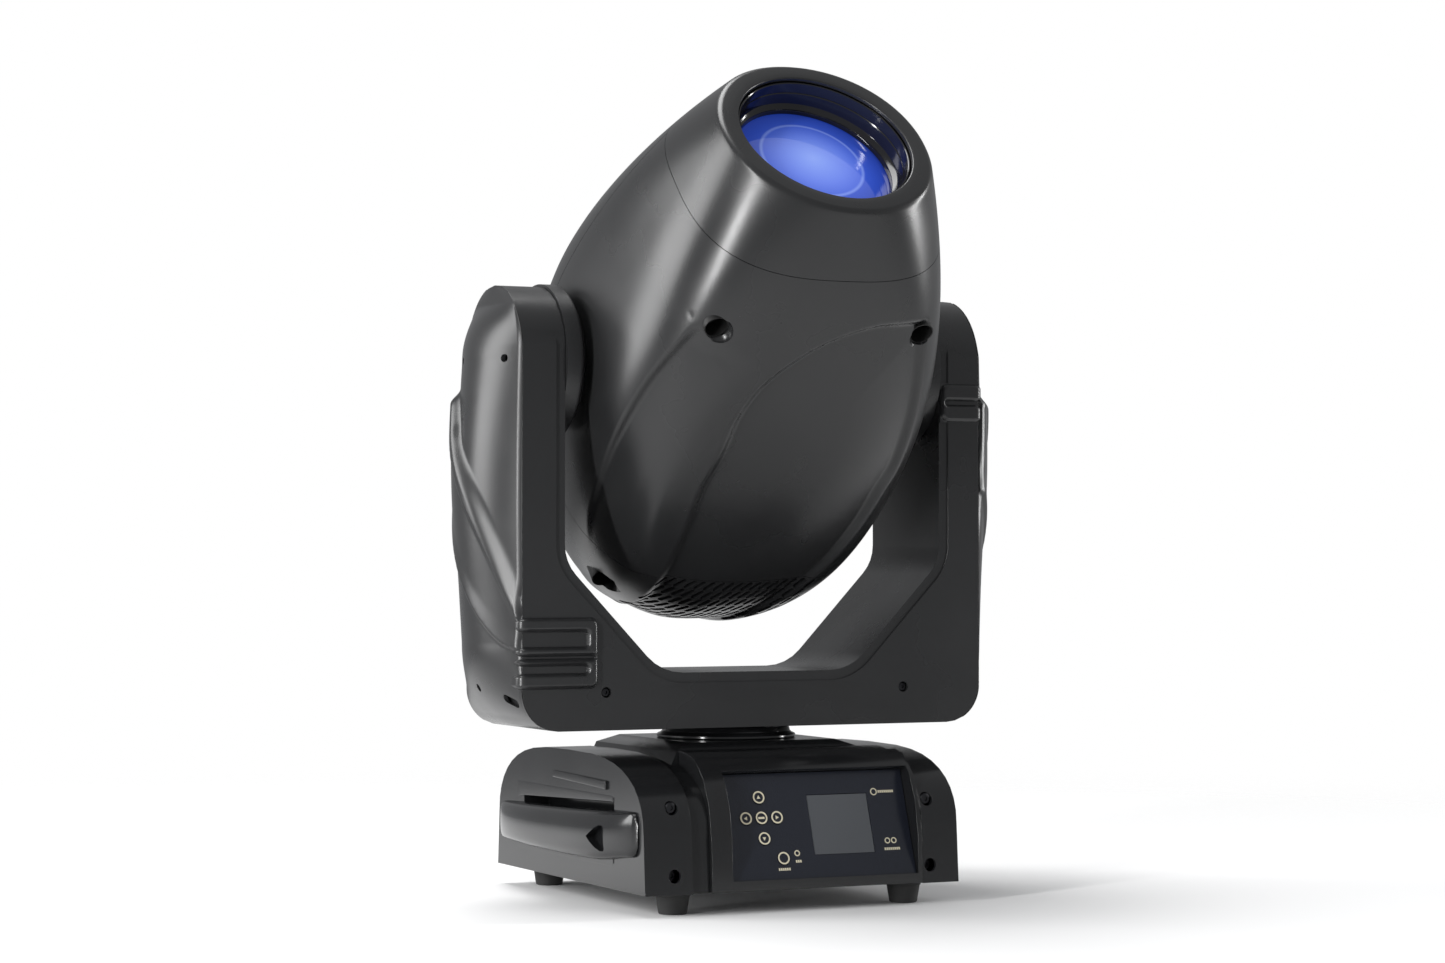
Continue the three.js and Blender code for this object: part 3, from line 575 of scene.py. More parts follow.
def unrolled(points):
    """A curve through front points on the unrolled skin: distance round from the front, and height."""
    flat = []
    for x, y, z in points:
        angle = math.atan2(y / float(front_depth(z)), x / float(head_width(z)))
        row = int(np.abs(levels - z).argmin())
        flat.append((np.interp(angle, turns[:FRONT_POINTS], round_grid[row, :FRONT_POINTS]), z))
    return through(flat)


crease = unrolled([
    (99, -93, 151), (93, -95, 148), (68, -104, 152), (41, -111, 153), (9, -115, 143), (-20, -119, 125),
    (-46, -125, 98), (-58, -130, 68), (-62, -135.5, 35), (-68, -139, 0.5), (-69, -143, -41),
    (-69.5, -142, -87), (-71, -136, -117), (-74, -126, -150),
])
right_edge = unrolled([
    (95, -96, 150), (96, -102, 132), (107, -114, 67), (108, -123.5, 15), (101, -130, -7), (92, -136, -45),
    (76, -140, -85), (56, -138, -118),
])
left_edge = unrolled([
    (-104, -93, 131), (-106, -93, 127.8), (-122.5, -93, 81), (-130, -93, 40), (-133, -93, -4),
    (-130, -93, -50), (-122, -93, -90), (-110, -93, -125),
])
from_crease = beside(round_grid, level_grid, crease)
from_right = beside(round_grid, level_grid, right_edge)
from_left = beside(round_grid, level_grid, left_edge)
on_front = (np.abs(round_grid) < 230).astype(float)
# A leaf-shaped field is sunk between the crease and the right edge. It is shallower in its middle.
PRESSED_IN, SHALLOWER, ROLL_HEIGHT = 4.6, 0.55, 1.6
leaf = smooth(from_crease, -1, 6) * smooth(-from_right, 0, 9) * on_front
leaf_depth = PRESSED_IN * leaf * (1 - SHALLOWER * smooth(np.minimum(from_crease, -from_right), 8, 70))
# A facet runs down the left, and a soft roll follows the crease.
facet = smooth(from_left, 0, 7) * (1 - smooth(from_left, 12, 60)) * on_front
facet *= smooth(-level_grid, -140, -112) * smooth(level_grid, -115, -30)
roll = smooth(from_crease, -46, -26) * (1 - smooth(from_crease, -26, -3))
roll *= smooth(-level_grid, -60, 30) * on_front
inset = leaf_depth + PRESSED_IN * facet * (1 - leaf) - ROLL_HEIGHT * roll
# All of them fade towards the seam with the front cap and towards the rear end.
inset *= smooth(-level_grid, -CAP_SEAM, -160) * smooth(level_grid, HEAD_REAR, HEAD_REAR + 30)

outside = head_points(level_grid, turn_grid, inset)
inside_levels = np.clip(level_grid, HEAD_REAR + SHELL_THICKNESS, None)
inside = head_points(inside_levels, turn_grid, SHELL_THICKNESS)
head_shell = rings([*outside, *inside[::-1]])


def slab(y0, y1, z0, z1):
    """A block that reaches past both sides of the head."""
    return box(-FAR, FAR, y0, y1, z0, z1)


screw_spots = [(88, 136), (-88, 136), (96, -136), (-96, -136)]
for x, z in screw_spots:
    y = head_front(x, z)
    well = [(0, y - 12), (11.2, y - 12), (11.2, y - 0.6), (9.8, y + 0.8), (9.8, y + 30), (0, y + 30)]
    carve(head_shell, lathe(well, "y", (x, z), 40))


def slots(spots, length, width, slant, start, end, axis="y"):
    """A set of slanted round-ended slots, as one cutter."""
    c, s = math.cos(slant), math.sin(slant)
    upright = []
    for side in (1, -1):
        for angle in np.linspace(0, math.pi, 7):
            across, along = width / 2 * math.cos(angle), length / 2 + width / 2 * math.sin(angle)
            upright.append((side * across, side * along))
    verts, faces = [], []
    for a, b in spots:
        outline = [(a + p * c + q * s, b - p * s + q * c) for p, q in upright]
        piece = extrude(outline, start, end, axis)
        shift = len(verts)
        verts += [tuple(v.co) for v in piece.data.vertices]
        faces += [tuple(shift + i for i in f.vertices) for f in piece.data.polygons]
        remove(piece)
    return outward(temporary(verts, faces))


# The lower front is a grille of slanted slots, each row half a pitch over from the next.
VENT_PITCH, VENT_ROW, VENT_WIDTH, VENT_SLANT = 8.2, 12.5, 4.4, math.radians(32)
grille_spots = []
for row in range(6):
    z = VENT_SEAM - 7 - VENT_ROW * row
    left_end, right_end = -70 - 0.6 * row, 72 - 4 * row
    for k in range(-9, 11):
        x = VENT_PITCH * k + VENT_PITCH / 2 * (row % 2) - 1.5 * row
        if left_end < x < right_end:
            grille_spots.append((x, z))
grille = slots(grille_spots, 8.5, VENT_WIDTH, VENT_SLANT, -200, -60)
rear_spots = [(x, y) for y in np.arange(-32, 33, 8.0) for x in (-26, 0, 26)]
rear_vents = slots(rear_spots, 17, 4.2, math.pi / 2, HEAD_REAR - 5, HEAD_REAR + 20, "z")
carve(head_shell, grille, rear_vents)

body = keep(copy_of(head_shell), slab(-FAR, BACK_SEAM - SEAM, VENT_SEAM + SEAM, CAP_SEAM - SEAM))
back = keep(copy_of(head_shell), slab(BACK_SEAM + SEAM, FAR, VENT_SEAM + SEAM, CAP_SEAM - SEAM))
cowl = keep(head_shell, slab(-FAR, FAR, -FAR, VENT_SEAM - SEAM))
SHAFT_HOLE_RADIUS = 22
for shell in (body, back):
    carve(shell, rod(SHAFT_HOLE_RADIUS, -200, 200, "x"))
back_spots = [(x, z) for z in (-78, -64, -50) for x in np.arange(-60, 61, 10.0)]
carve(back, slots(back_spots, 7, VENT_WIDTH, VENT_SLANT, 60, 200))
finish(body, "head_body_moulding", HEAD, "head", housing, ["head_body"], 60)
finish(back, "head_back_moulding", HEAD, "head", housing, ["head_back_cover"], 60)
finish(cowl, "rear_cowl_moulding", HEAD, "head", housing, ["rear_cowl"], 60)

# Front cap: the outside, a rounded front ring, and back down the inside.
CAP_SIDES, CAP_CORNER, CAP_THICKNESS = 240, 3.2, 3.4
cap_turns = -math.pi / 2 + 2 * math.pi * np.arange(CAP_SIDES) / CAP_SIDES
cap_rows = [(z, 0.0) for z in np.linspace(CAP_SEAM + SEAM, HEAD_FRONT - CAP_CORNER, 24)]
cap_rows += [(HEAD_FRONT - CAP_CORNER + CAP_CORNER * math.sin(a), CAP_CORNER * (1 - math.cos(a)))
             for a in np.radians([15, 30, 45, 60, 75, 90])]
cap_stack = [head_points(z, cap_turns, inset) for z, inset in cap_rows]


def circle(radius, z):
    return np.stack([radius * np.cos(cap_turns), radius * np.sin(cap_turns), np.full(cap_turns.shape, z)], -1)


for radius, z in [(76, 0), (71.4, 0), (70.8, -0.15), (70.35, -0.55), (70.2, -1.1), (70.2, -3.4)]:
    cap_stack.append(circle(radius, HEAD_FRONT + z))
cap_stack += [head_points(z, cap_turns, CAP_THICKNESS)
              for z in np.linspace(HEAD_FRONT - CAP_THICKNESS, CAP_SEAM + SEAM, 12)]
cap_ring = rings(cap_stack, closed=True)
finish(cap_ring, "head_cap_moulding", HEAD, "head", housing, ["head_cap"], 40)

# Each cover screw sits at the bottom of a round cup, coloured near-black as painted shade in the screw well.
for i, (x, z) in enumerate(screw_spots):
    y = head_front(x, z) + 3
    cup = [(0, y + 16), (9.7, y + 16), (9.7, y), (8.9, y), (8.9, y + 14.5), (0, y + 14.5)]
    finish(lathe(cup, "y", (x, z), 40), f"screw_well_painted_shade_{i}", HEAD, "head", shadow_black)
    head = [(0, y + 14.4), (4.6, y + 14.4), (4.6, y + 11.6), (3.8, y + 10.8), (2.2, y + 10.6),
            (2.0, y + 12.4), (0, y + 12.4)]
    finish(lathe(head, "y", (x, z), 32), f"cap_screw_{i}", HEAD, "head", screw_black)

# Front optics
barrel = lathe([
    (61, 168.3), (69.6, 168.3), (69.6, 240.0), (69.2, 240.6), (68.4, 240.7), (67.9, 240.2), (67.6, 232),
    (67.9, 231.4), (67.4, 230.6), (66.9, 221.6), (66.2, 220.6), (64.4, 219.4), (63.2, 218.6),
    (62.6, 217.2), (62.6, 214.4), (66.3, 214.3), (66.3, 206.4), (61.4, 206.2), (61, 205.6),
], sides=160)
finish(barrel, "lens_barrel_turned", HEAD, "head", gloss, ["lens_barrel"], 28)

LENS_REAR_Z, LENS_RIM_Z, LENS_FRONT_Z = 207.4, 213.2, 213.4
LENS_R, LENS_BULGE, GLOW_OFFSET = 66.0, 5, 5
rear_curve = [(LENS_R * t, LENS_REAR_Z - LENS_BULGE * (1 - t * t)) for t in np.linspace(0, 1, 33)]
front_curve = [(LENS_R * t, LENS_FRONT_Z + LENS_BULGE * (1 - t * t)) for t in np.linspace(1, 0, 49)]
lens = lathe([*rear_curve, (LENS_R, LENS_RIM_Z), *front_curve[1:]], sides=128)
# Distances run from the painted glow's centre, which sits a little off the lens's own centre.
radius_layer = lens.data.color_attributes.new("radius", "FLOAT_COLOR", "POINT")
for vertex, item in zip(lens.data.vertices, radius_layer.data):
    away = math.hypot(vertex.co.x, vertex.co.y - GLOW_OFFSET) / LENS_R
    item.color = (min(away, 1), 0, 0, 1)
finish(lens, "front_lens_glass", HEAD, "head", lens_blue_painted_glow, ["front_lens"], 60)

# ---- Yoke ------------------------------------------------

# Heights are above the floor. A cover closes in below the knee and above the tilt axis.
TILT_Z, KNEE_Z = 425.0, 205
COVER_LOW, COVER_HIGH = 141.5, 482.5
KNEE_REACH, TOP_REACH = 68, 60.5
CROWN_ROOT, CROWN_REACH, CROWN_RISE = 165, 57, 6
FOOT_X, FOOT_Z, FOOT_RADIUS = 171, 167.5, 30
COVER_HALF, ARM_TOP_RADIUS = 59, 60
COVER_THICKNESS = 3.2


def cover_grid(z, t, inset):
    """An arm cover's x and y at a height and a share of its width, and where its edge meets the arm."""
    below = np.clip((KNEE_Z - z) / KNEE_REACH, 0, None)
    above = np.clip((z - TILT_Z) / TOP_REACH, 0, None)
    closing = np.sqrt(np.clip(1 - (below + above) ** 2, 0, 1))
    middle_rise = np.where(below + above > 0, 0, np.sin(np.pi * (z - KNEE_Z) / (TILT_Z - KNEE_Z)))
    crown = CROWN_ROOT + CROWN_REACH * closing + CROWN_RISE * middle_rise - inset
    drop = np.clip(FOOT_Z - z, 0, None)
    edge = FOOT_X + np.sqrt(np.clip(FOOT_RADIUS**2 - drop**2, 0, None)) + 0.3
    top = np.sqrt(np.clip(ARM_TOP_RADIUS**2 - np.clip(z - TILT_Z, 0, None) ** 2, 1, None))
    half = np.maximum(np.minimum(COVER_HALF, top) - inset, 1)
    bulge = np.maximum(crown - edge, 2)
    x = edge + bulge * (1 - t * t)
    return x, t * half, edge


cover_z = np.concatenate([np.linspace(COVER_LOW, KNEE_Z, 40), np.linspace(KNEE_Z, TILT_Z, 130)[1:],
                          np.linspace(TILT_Z, COVER_HIGH, 50)[1:]])
cover_t = np.concatenate([[-1, -0.99, -0.975, -0.955], np.linspace(-0.93, 0.93, 70),
                          [0.955, 0.975, 0.99, 1]])
cz, ct = np.meshgrid(cover_z, cover_t, indexing="ij")
cx, cy, cedge = cover_grid(cz, ct, 0)
# Two nested steps sweep down from the rear shoulder to the front of the foot of the arm.
upper = through([(62, 405), (38, 403), (20.3, 400), (10, 380), (2.8, 360), (-23.5, 323.6), (-39.5, 292.6),
                 (-50.1, 266.5), (-59, 238.9), (-66, 222)])
lower = through([(62, 398), (42, 390), (25.6, 366), (-0.4, 328.5), (-23.2, 295), (-38.9, 264), (-50.7, 237.9),
                 (-59, 220), (-66, 208)])
second = through([(62, 330), (40, 305), (25, 284.2), (-0.7, 248.3), (-21.7, 224.2), (-41.6, 206.9),
                  (-59, 200), (-66, 199)])
d_upper = beside(cy, cz, upper)
d_lower = beside(cy, cz, lower)
d_second = beside(cy, cz, second)
tall = 3.2 + 4.6 * smooth(cz, 240, 390)  # the step grows towards the rear shoulder
rise = tall * smooth(d_upper, -2, 10) - 1.7 * smooth(d_lower, -1, 2.2) - 1.6 * smooth(d_second, -1, 2.2)
rise += 1.2 * smooth(d_second, -14, -1) * (1 - smooth(d_second, -1, 1.5))
rise *= smooth(cz, COVER_LOW, 190)
tuck = 2.6 * smooth(np.abs(ct), 0.955, 1.0)
cx = np.maximum(cx + rise - tuck, cedge + 0.05)
outer = np.stack([cx, cy, cz], -1)
iz = np.clip(cz, 146, 478)
ix, iy, iedge = cover_grid(iz, ct, COVER_THICKNESS)
rim_x = iedge - 0.25
on_rim = (np.abs(ct) > 0.97) | (cz < 144) | (cz > 480)
inner = np.stack([np.where(on_rim, rim_x, np.maximum(ix - 1.0, rim_x)), iy, iz], -1)
cover = skin(outer, inner)
for y, z in [(-44.2, 425.4), (20, 426), (0, 170), (44, 250)]:
    carve(cover, rod(3.1, 190, 260, "x", (y, z), sides=32))
carve(cover, slots([(-44, 161)], 12, 6.5, math.radians(72), 190, 260, "x"))
# The steps reach the front low down on the left arm, and the right arm is the left one turned half round.
left_cover = moved(copy_of(cover), MIRROR_X)
right_cover = moved(cover, MIRROR_Y)
finish(left_cover, "arm_cover_left_moulding", FLOOR, "yoke", housing, ["arm_cover_left"], 34)
finish(right_cover, "arm_cover_right_moulding", FLOOR, "yoke", housing, ["arm_cover_right"], 34)

yoke = cad_shape("yoke_frame", FLOOR)


def rounded_corner(before, corner, after, radius):
    """The points of an arc that rounds the corner between two straight lines."""
    first, second = (Vector(p) - Vector(corner) for p in (before, after))
    opening = first.angle(second) / 2
    middle = (first.normalized() + second.normalized()).normalized()
    centre = Vector(corner) + middle * radius / math.sin(opening)
    way = 1 if first.cross(second) < 0 else -1
    sweep = math.pi / 2 - opening
    start = math.atan2(-middle.y, -middle.x)
    return [(centre.x + radius * math.cos(start + way * a), centre.y + radius * math.sin(start + way * a))
            for a in np.linspace(-sweep, sweep, 11)]


WINDOW_HALF, WINDOW_FLOOR, FLOOR_HALF = 165, 181.4, 83
SHOULDER_Z, SHOULDER_RADIUS, FLOOR_RADIUS, ABOVE_ARMS = 268, 34, 42, 500


def window_outline(outwards):
    """Outline of the window between the arms, moved outwards all round."""
    lean = outwards * 0.36
    wall, bottom = WINDOW_HALF + outwards, WINDOW_FLOOR - outwards
    high, shoulder, floor_end = (wall, ABOVE_ARMS), (wall, SHOULDER_Z - lean), (FLOOR_HALF + lean, bottom)
    half = [high, *rounded_corner(high, shoulder, floor_end, SHOULDER_RADIUS + outwards),
            *rounded_corner(shoulder, floor_end, (0, bottom), FLOOR_RADIUS + outwards)]
    return half + [(-x, z) for x, z in reversed(half)]


bevelled(yoke, 1.6)
# A flat rebate runs round the window's mouth, front and rear.
REBATE_WIDTH, REBATE_FLOOR = 8, 57.3
for facing in (-1, 1):
    carve(yoke, extrude(window_outline(REBATE_WIDTH), *sorted((REBATE_FLOOR * facing, 80 * facing)), "y"))
FRAME_SCREW_X, FRAME_SCREW_Z = 130.8, 167
for x in (-FRAME_SCREW_X, FRAME_SCREW_X):
    for ends in ((-80, -52), (52, 80)):
        carve(yoke, rod(4.2, *ends, "y", (x, FRAME_SCREW_Z), sides=32))
finish(yoke, "yoke_frame_moulding", FLOOR, "yoke", housing, ["yoke_frame"], 34)

hub_profile = [(20.6, 146.2), (52, 146.2), (54.5, 147), (57, 149.6), (59.6, 150.4), (61.2, 151.6),
               (62, 153.6), (62, 164.6), (20.6, 164.6)]
for name, side in (("left", -1), ("right", 1)):
    ring = lathe([(r, side * h) for r, h in hub_profile], "x", (0, TILT_Z), 120)
    finish(ring, f"hub_ring_{name}_turned", FLOOR, "yoke", housing, [f"hub_ring_{name}"], 28)

# Raised bands wrap from the covers on to the frame: low on the left arm's front, high on the right arm's.


def inside_box(x, z, x0, x1, z0, z1, radius):
    """Distance inside a rounded rectangle, negative outside."""
    dx = np.abs(x - (x0 + x1) / 2) - (x1 - x0) / 2 + radius
    dz = np.abs(z - (z0 + z1) / 2) - (z1 - z0) / 2 + radius
    beyond = np.hypot(np.clip(dx, 0, None), np.clip(dz, 0, None))
    return radius - (beyond + np.minimum(np.maximum(dx, dz), 0))


def hill(distance, width):
    """A rounded ridge's height, by the distance in from its edge."""
    part = np.clip(distance / width, 0, 1)
    return np.sqrt(1 - (1 - part) ** 2) * 0.6 + 0.4 * part * part * (3 - 2 * part)


FRAME_FRONT, BAND_SIDE, BAND_BEND = -59.0, -201.8, 4.0
BAND_SUNK, BAND_BACKING = 0.4, 1.5  # how far a band's edge sits below the surface, and its back behind it
OFF_ARM = -260                      # a band and its pockets run out of sight round the arm's side


def band_patch(x1, z0, z1, pockets, tall):
    """A raised band with pockets: it wraps from the cover's side round the corner to the frame's front."""
    side = np.linspace(-1, 0, 30)
    arc = math.pi + math.pi / 2 * np.arange(8) / 7
    arc_x, arc_y = BAND_SIDE + BAND_BEND, FRAME_FRONT + BAND_BEND
    flat = np.linspace(0, x1 + 197, 60)[1:] - 197
    px = np.concatenate([BAND_SIDE + 0.2 * side, arc_x + BAND_BEND * np.cos(arc), flat])
    py = np.concatenate([arc_y - 10 * side, arc_y + BAND_BEND * np.sin(arc), 0 * flat + FRAME_FRONT])
    out_x = np.concatenate([np.full(side.shape, -1.0), np.cos(arc), np.zeros(flat.shape)])
    out_y = np.concatenate([np.zeros(side.shape), np.sin(arc), np.full(flat.shape, -1.0)])
    zs = np.linspace(z0 - 1, z1 + 1, int((z1 - z0) * 2.2))
    gx, gy, ox, oy = (np.repeat(row[:, None], len(zs), axis=1) for row in (px, py, out_x, out_y))
    gz = np.repeat(zs[None, :], len(px), axis=0)
    d = inside_box(gx, gz, OFF_ARM, x1, z0, z1, 7)
    for pocket_x1, pocket_z0, pocket_z1 in pockets:
        d = np.minimum(d, -inside_box(gx, gz, OFF_ARM, pocket_x1, pocket_z0, pocket_z1, 2.5))
    height = tall * hill(d, 3.6) - BAND_SUNK
    front = np.stack([gx + ox * height, gy + oy * height, gz], -1)
    rear = np.stack([gx - ox * BAND_BACKING, gy - oy * BAND_BACKING, gz], -1)
    return skin(front, rear)


low_pockets = [(-147.5, 203, 214), (-147.5, 182.5, 187.8), (-141, 193.9, 195.3)]
high_pockets = [(-170, 396.2, 399)]
for name, x1, z0, z1, pockets, tall, high in (
    ("foot", -138, 170, 225.5, low_pockets, 4.2, False),
    ("shoulder", -165.6, 382, 413, high_pockets, 3.2, True),
):
    for side, word in ((1, "left"), (-1, "right")):
        patch = band_patch(x1, z0, z1, pockets, tall)
        on_rear = (side < 0) != high
        if on_rear:
            moved(patch, MIRROR_Y)
        if side < 0:
            moved(patch, MIRROR_X)
        finish(patch, f"arm_band_{name}_{word}", FLOOR, "yoke", housing, (), 40)

# ---- Base ------------------------------------------------


def screw(name, x, y, z, radius, body, place, facing=-1):
    """A recessed cover screw that looks out along Y."""
    profile = [(0, 0.4), (radius, 0.4), (radius, -1.2), (radius * 0.8, -2.0), (radius * 0.45, -2.1),
               (radius * 0.4, -0.9), (0, -0.9)]
    head = lathe([(r, -facing * h + y) for r, h in profile], "y", (x, z), 32)
    finish(head, name, place, body, screw_black)


CAP_SCREW_X = 110
CAP_SCREW_HEIGHTS = (82, 31)
HANDLE_HALF, HANDLE_BACK, HANDLE_BULGE = 138, 135.35, 15.2
for side, word in ((1, "right"), (-1, "left")):
    node = f"end_cap_{word}"
    cap = cad_shape(node, BASE)
    for z in CAP_SCREW_HEIGHTS:
        for ends in ((-170, -120), (120, 170)):
            carve(cap, rod(5.2, *ends, "y", (CAP_SCREW_X * side, z), sides=36))
    bevelled(cap, 2.2)
    finish(cap, f"{node}_moulding", BASE, "base", base_black, [node], 34)
    for i, z in enumerate(CAP_SCREW_HEIGHTS):
        screw(f"cap_{word}_screw_{i}", CAP_SCREW_X * side, -139, z, 4.4, "base", BASE)
    # A slanted raised tab high on the side of the cap
    slant = [(-79, 92.6), (27, 96.0), (27, 101.5), (-79, 99.5)]
    tab = bevelled(extrude(slant, *sorted((133 * side, 137.2 * side)), "x"), 1.0)
    finish(tab, f"side_tab_{word}", BASE, "base", base_black)

    # Carry handle: a bowed grip with rounded edges. Its share t runs from the front end to the rear.
    t = np.linspace(-1, 1, 121)
    bulge = HANDLE_BULGE * np.clip(1 - np.abs(t) ** 2.6, 0, 1) ** 0.6 + 0.6
    top = 74.6 - 4.6 * t
    bottom = 40 - 2 * np.cos(t * math.pi / 2) + 5 * smooth(-t, 0.5, 1)
    theta = np.linspace(-math.pi / 2, math.pi / 2, 25)
    c, sn = np.cos(theta), np.sin(theta)
    across = 135.4 + bulge[:, None] * np.abs(c)[None, :] ** 0.55
    middle_z = (top + bottom)[:, None] / 2
    round_end = np.sqrt(1 - np.clip((np.abs(t) - 0.93) / 0.0705, 0, 1) ** 2)
    half_height = ((top - bottom) / 2 * (0.45 + 0.55 * round_end))[:, None]
    upright = middle_z + half_height * np.sign(sn)[None, :] * np.abs(sn)[None, :] ** 0.7
    lengthways = np.repeat((HANDLE_HALF * t)[:, None], len(theta), axis=1)
    front = np.stack([side * across, lengthways, upright], -1)
    rear = front.copy()
    rear[..., 0] = side * HANDLE_BACK
    grip = skin(front, rear)
    dimple = [(-98, 49), (-98, 64.5), (-96, 66.5), (-91, 66.8), (-84, 64.5), (-76, 60.5), (-70, 57),
              (-76, 53), (-84, 49), (-91, 46.8), (-96, 47)]
    carve(grip, outward(extrude(dimple, *sorted((142 * side, 170 * side)), "x")))
    # The pocket's mouth narrows to a slanted slot above the grip.
    brow = extrude([(-90, 83.4), (-84, 83.6), (99, 76.6), (106, 74), (106, 89), (-90, 89)],
                   *sorted((126 * side, 135.2 * side)), "x")
    bevelled(brow, 1.0)
    finish(brow, f"pocket_brow_{word}", BASE, "base", base_black)
    sill = extrude([(-90, 34), (106, 34), (106, 52), (-90, 52)], *sorted((131 * side, 135.1 * side)), "x")
    bevelled(sill, 0.8)
    finish(sill, f"pocket_sill_{word}", BASE, "base", base_black)
    finish(grip, f"handle_{word}_grip", BASE, "base", base_black, [f"handle_{word}"], 40)

for node, width, look in (("base_housing", 1.8, base_black), ("front_fascia", 1.6, base_black),
                          ("rear_panel", 0.5, dark_steel), ("base_chassis", 0.5, dark_steel),
                          ("rigging_plate", 0.8, steel), ("power_supply", 0.6, aluminium)):
    place = FLOOR if node == "rigging_plate" else BASE
    shape = bevelled(cad_shape(node, place), width)
    finish(shape, f"{node}_detailed", place, "base", look, [node], 34)

collar = lathe([(34.2, 127.4), (55.4, 127.4), (56, 128), (56, 129.4), (55.2, 130.2), (53.4, 130.8),
                (51.8, 132.2), (50.8, 135.6), (50, 136.4), (34.2, 136.4)], sides=128)
finish(collar, "pan_collar_turned", FLOOR, "base", base_black, ["pan_collar"], 30)

foot_profile = [(0, 0), (10, 0), (10.8, 0.5), (11.1, 1.4), (13.0, 13.4), (13.9, 14.2), (14, 15),
                (14, 16.6), (0, 16.6)]
for word in ("front_left", "front_right", "rear_left", "rear_right"):
    node = f"foot_{word}"
    place = middle(node)
    centre = (place.x / MM, place.y / MM)
    foot = lathe(foot_profile, centre=centre, sides=56)
    carve(foot, rod(4.5, -1, 3.2, centre=centre, sides=32))
    finish(foot, f"{node}_moulded", FLOOR, "base", rubber, [node], 30)

# Menu panel: overlay plate, display, keys and their marks
plate = bevelled(cad_shape("control_panel", PANEL), 0.5, 2)
finish(plate, "control_panel_overlay", PANEL, "base", panel_ink, ["control_panel"], 34)
glass = bevelled(cad_shape("display_window", PANEL), 0.3, 2)
finish(glass, "display_window_glass", PANEL, "base", screen_grey, ["display_window"], 34)

MARK_FRONT, MARK_BACK = -0.12, 0.1  # a printed mark stands a little out of its surface


def mark_ring(name, x, z, outer_r, inner_r, body, y=0.0):
    front, back = y + MARK_FRONT, y + MARK_BACK
    ring = lathe([(inner_r, front), (outer_r, front), (outer_r, back), (inner_r, back)], "y", (x, z), 40)
    finish(ring, name, PANEL, body, legend)


def mark_shape(name, outline, body, y=0.0):
    finish(extrude(outline, y + MARK_FRONT, y + MARK_BACK, "y"), name, PANEL, body, legend)


KEY_RIM, KEY_DISH = -0.8, -0.38
key_profile = [(0, -0.35), (3.4, -0.42), (4.4, KEY_RIM), (4.8, -0.7), (5, -0.4), (5, 3), (2, 3.2), (2, 6),
               (0, 6)]
for word, turn in (("up", 90), ("down", -90), ("left", 180), ("right", 0), ("menu", None), ("battery", None)):
    node = f"key_{word}"
    spot = PANEL.inverted() @ middle(node)
    x, z = spot.x, spot.z
    finish(lathe(key_profile, "y", (x, z), 56), f"{node}_cap", PANEL, node, panel_ink, [node], 30)
    mark_ring(f"{node}_ring", x, z, 4.9, 3.75, node, KEY_RIM)
    if turn is not None:
        c, sn = math.cos(math.radians(turn)), math.sin(math.radians(turn))
        arrow = [(1.7, 0), (-1.0, 1.5), (-1.0, -1.5)]
        outline = [(x + a * c - b * sn, z + a * sn + b * c) for a, b in arrow]
        mark_shape(f"{node}_arrow", outline, node, KEY_DISH)
    elif word == "menu":
        bar = [(x + a, z + b) for a, b in ((-2.6, -0.8), (2.6, -0.8), (2.6, 0.8), (-2.6, 0.8))]
        mark_shape(f"{node}_bar", bar, node, KEY_DISH)

BAR_PITCH, BAR_WIDTH, BAR_HEIGHT = 1.75, 1.26, 2.0


def caption_bar(name, x, z, count):
    """A row of short plain bars where a caption would be; they spell nothing."""
    for k in range(count):
        left = x + (k - count / 2) * BAR_PITCH
        right, top = left + BAR_WIDTH, z + BAR_HEIGHT
        mark_shape(f"{name}_{k}", [(left, z), (right, z), (right, top), (left, top)], "base")


caption_bar("mark_battery", -33.6, -35.2, 6)
mark_ring("mark_sensor", -21.2, -22.0, 2.4, 1.5, "base")
caption_bar("mark_sensor_bar", -20.6, -29.4, 3)
mark_ring("mark_signal", 53.5, 24.6, 2.9, 2.1, "base")
caption_bar("mark_signal_bar", 64.2, 23.6, 8)
mark_ring("mark_link_a", 59.0, -15, 2.4, 1.6, "base")
mark_ring("mark_link_b", 64.6, -15, 2.4, 1.6, "base")
caption_bar("mark_link_bar", 62.4, -22.6, 8)

# ---- Rear sockets ----------------------------------------

for node, pins in (("power_inlet", 3), ("data_in", 5), ("data_out", 5), ("network_socket", 0)):
    spot = BASE.inverted() @ middle(node)
    x, z = spot.x, spot.z
    shell = bevelled(cad_shape(node, BASE), 0.5, 2)
    for sx, sz in ((-9.6, -12.4), (9.6, 12.4)):
        carve(shell, rod(1.7, 124.2, 130, "y", (x + sx, z + sz), sides=24))
    finish(shell, f"{node}_shell", BASE, "base", motor_black, [node], 34)
    insert = lathe([(0, 110.2), (9.2, 110.2), (9.2, 117.0), (8.4, 117.8), (0, 117.8)], "y", (x, z), 48)
    first_angle, step = (90, 120) if pins == 3 else (-30, 60)
    for k in range(pins):
        angle = math.radians(first_angle + step * k)
        px, pz = x + 5.2 * math.cos(angle), z + 5.2 * math.sin(angle)
        carve(insert, rod(1.35, 114, 120, "y", (px, pz), sides=20))
        pin = lathe([(0, 114.1), (0.9, 114.1), (0.9, 116.8), (0.5, 117.3), (0, 117.3)], "y", (px, pz), 20)
        finish(pin, f"{node}_contact_{k}", BASE, "base", brass)
    if pins == 0:
        carve(insert, box(x - 6, x + 6, 112, 120, z - 4, z + 4))
        for k in range(8):
            left = x - 4.6 + 1.3 * k
            wire = box(left - 0.25, left + 0.25, 112.1, 116.5, z + 2.6, z + 3.2)
            finish(wire, f"{node}_contact_{k}", BASE, "base", brass)
    finish(insert, f"{node}_insert", BASE, "base", shadow_black)

# ---- Screws on the yoke ----------------------------------

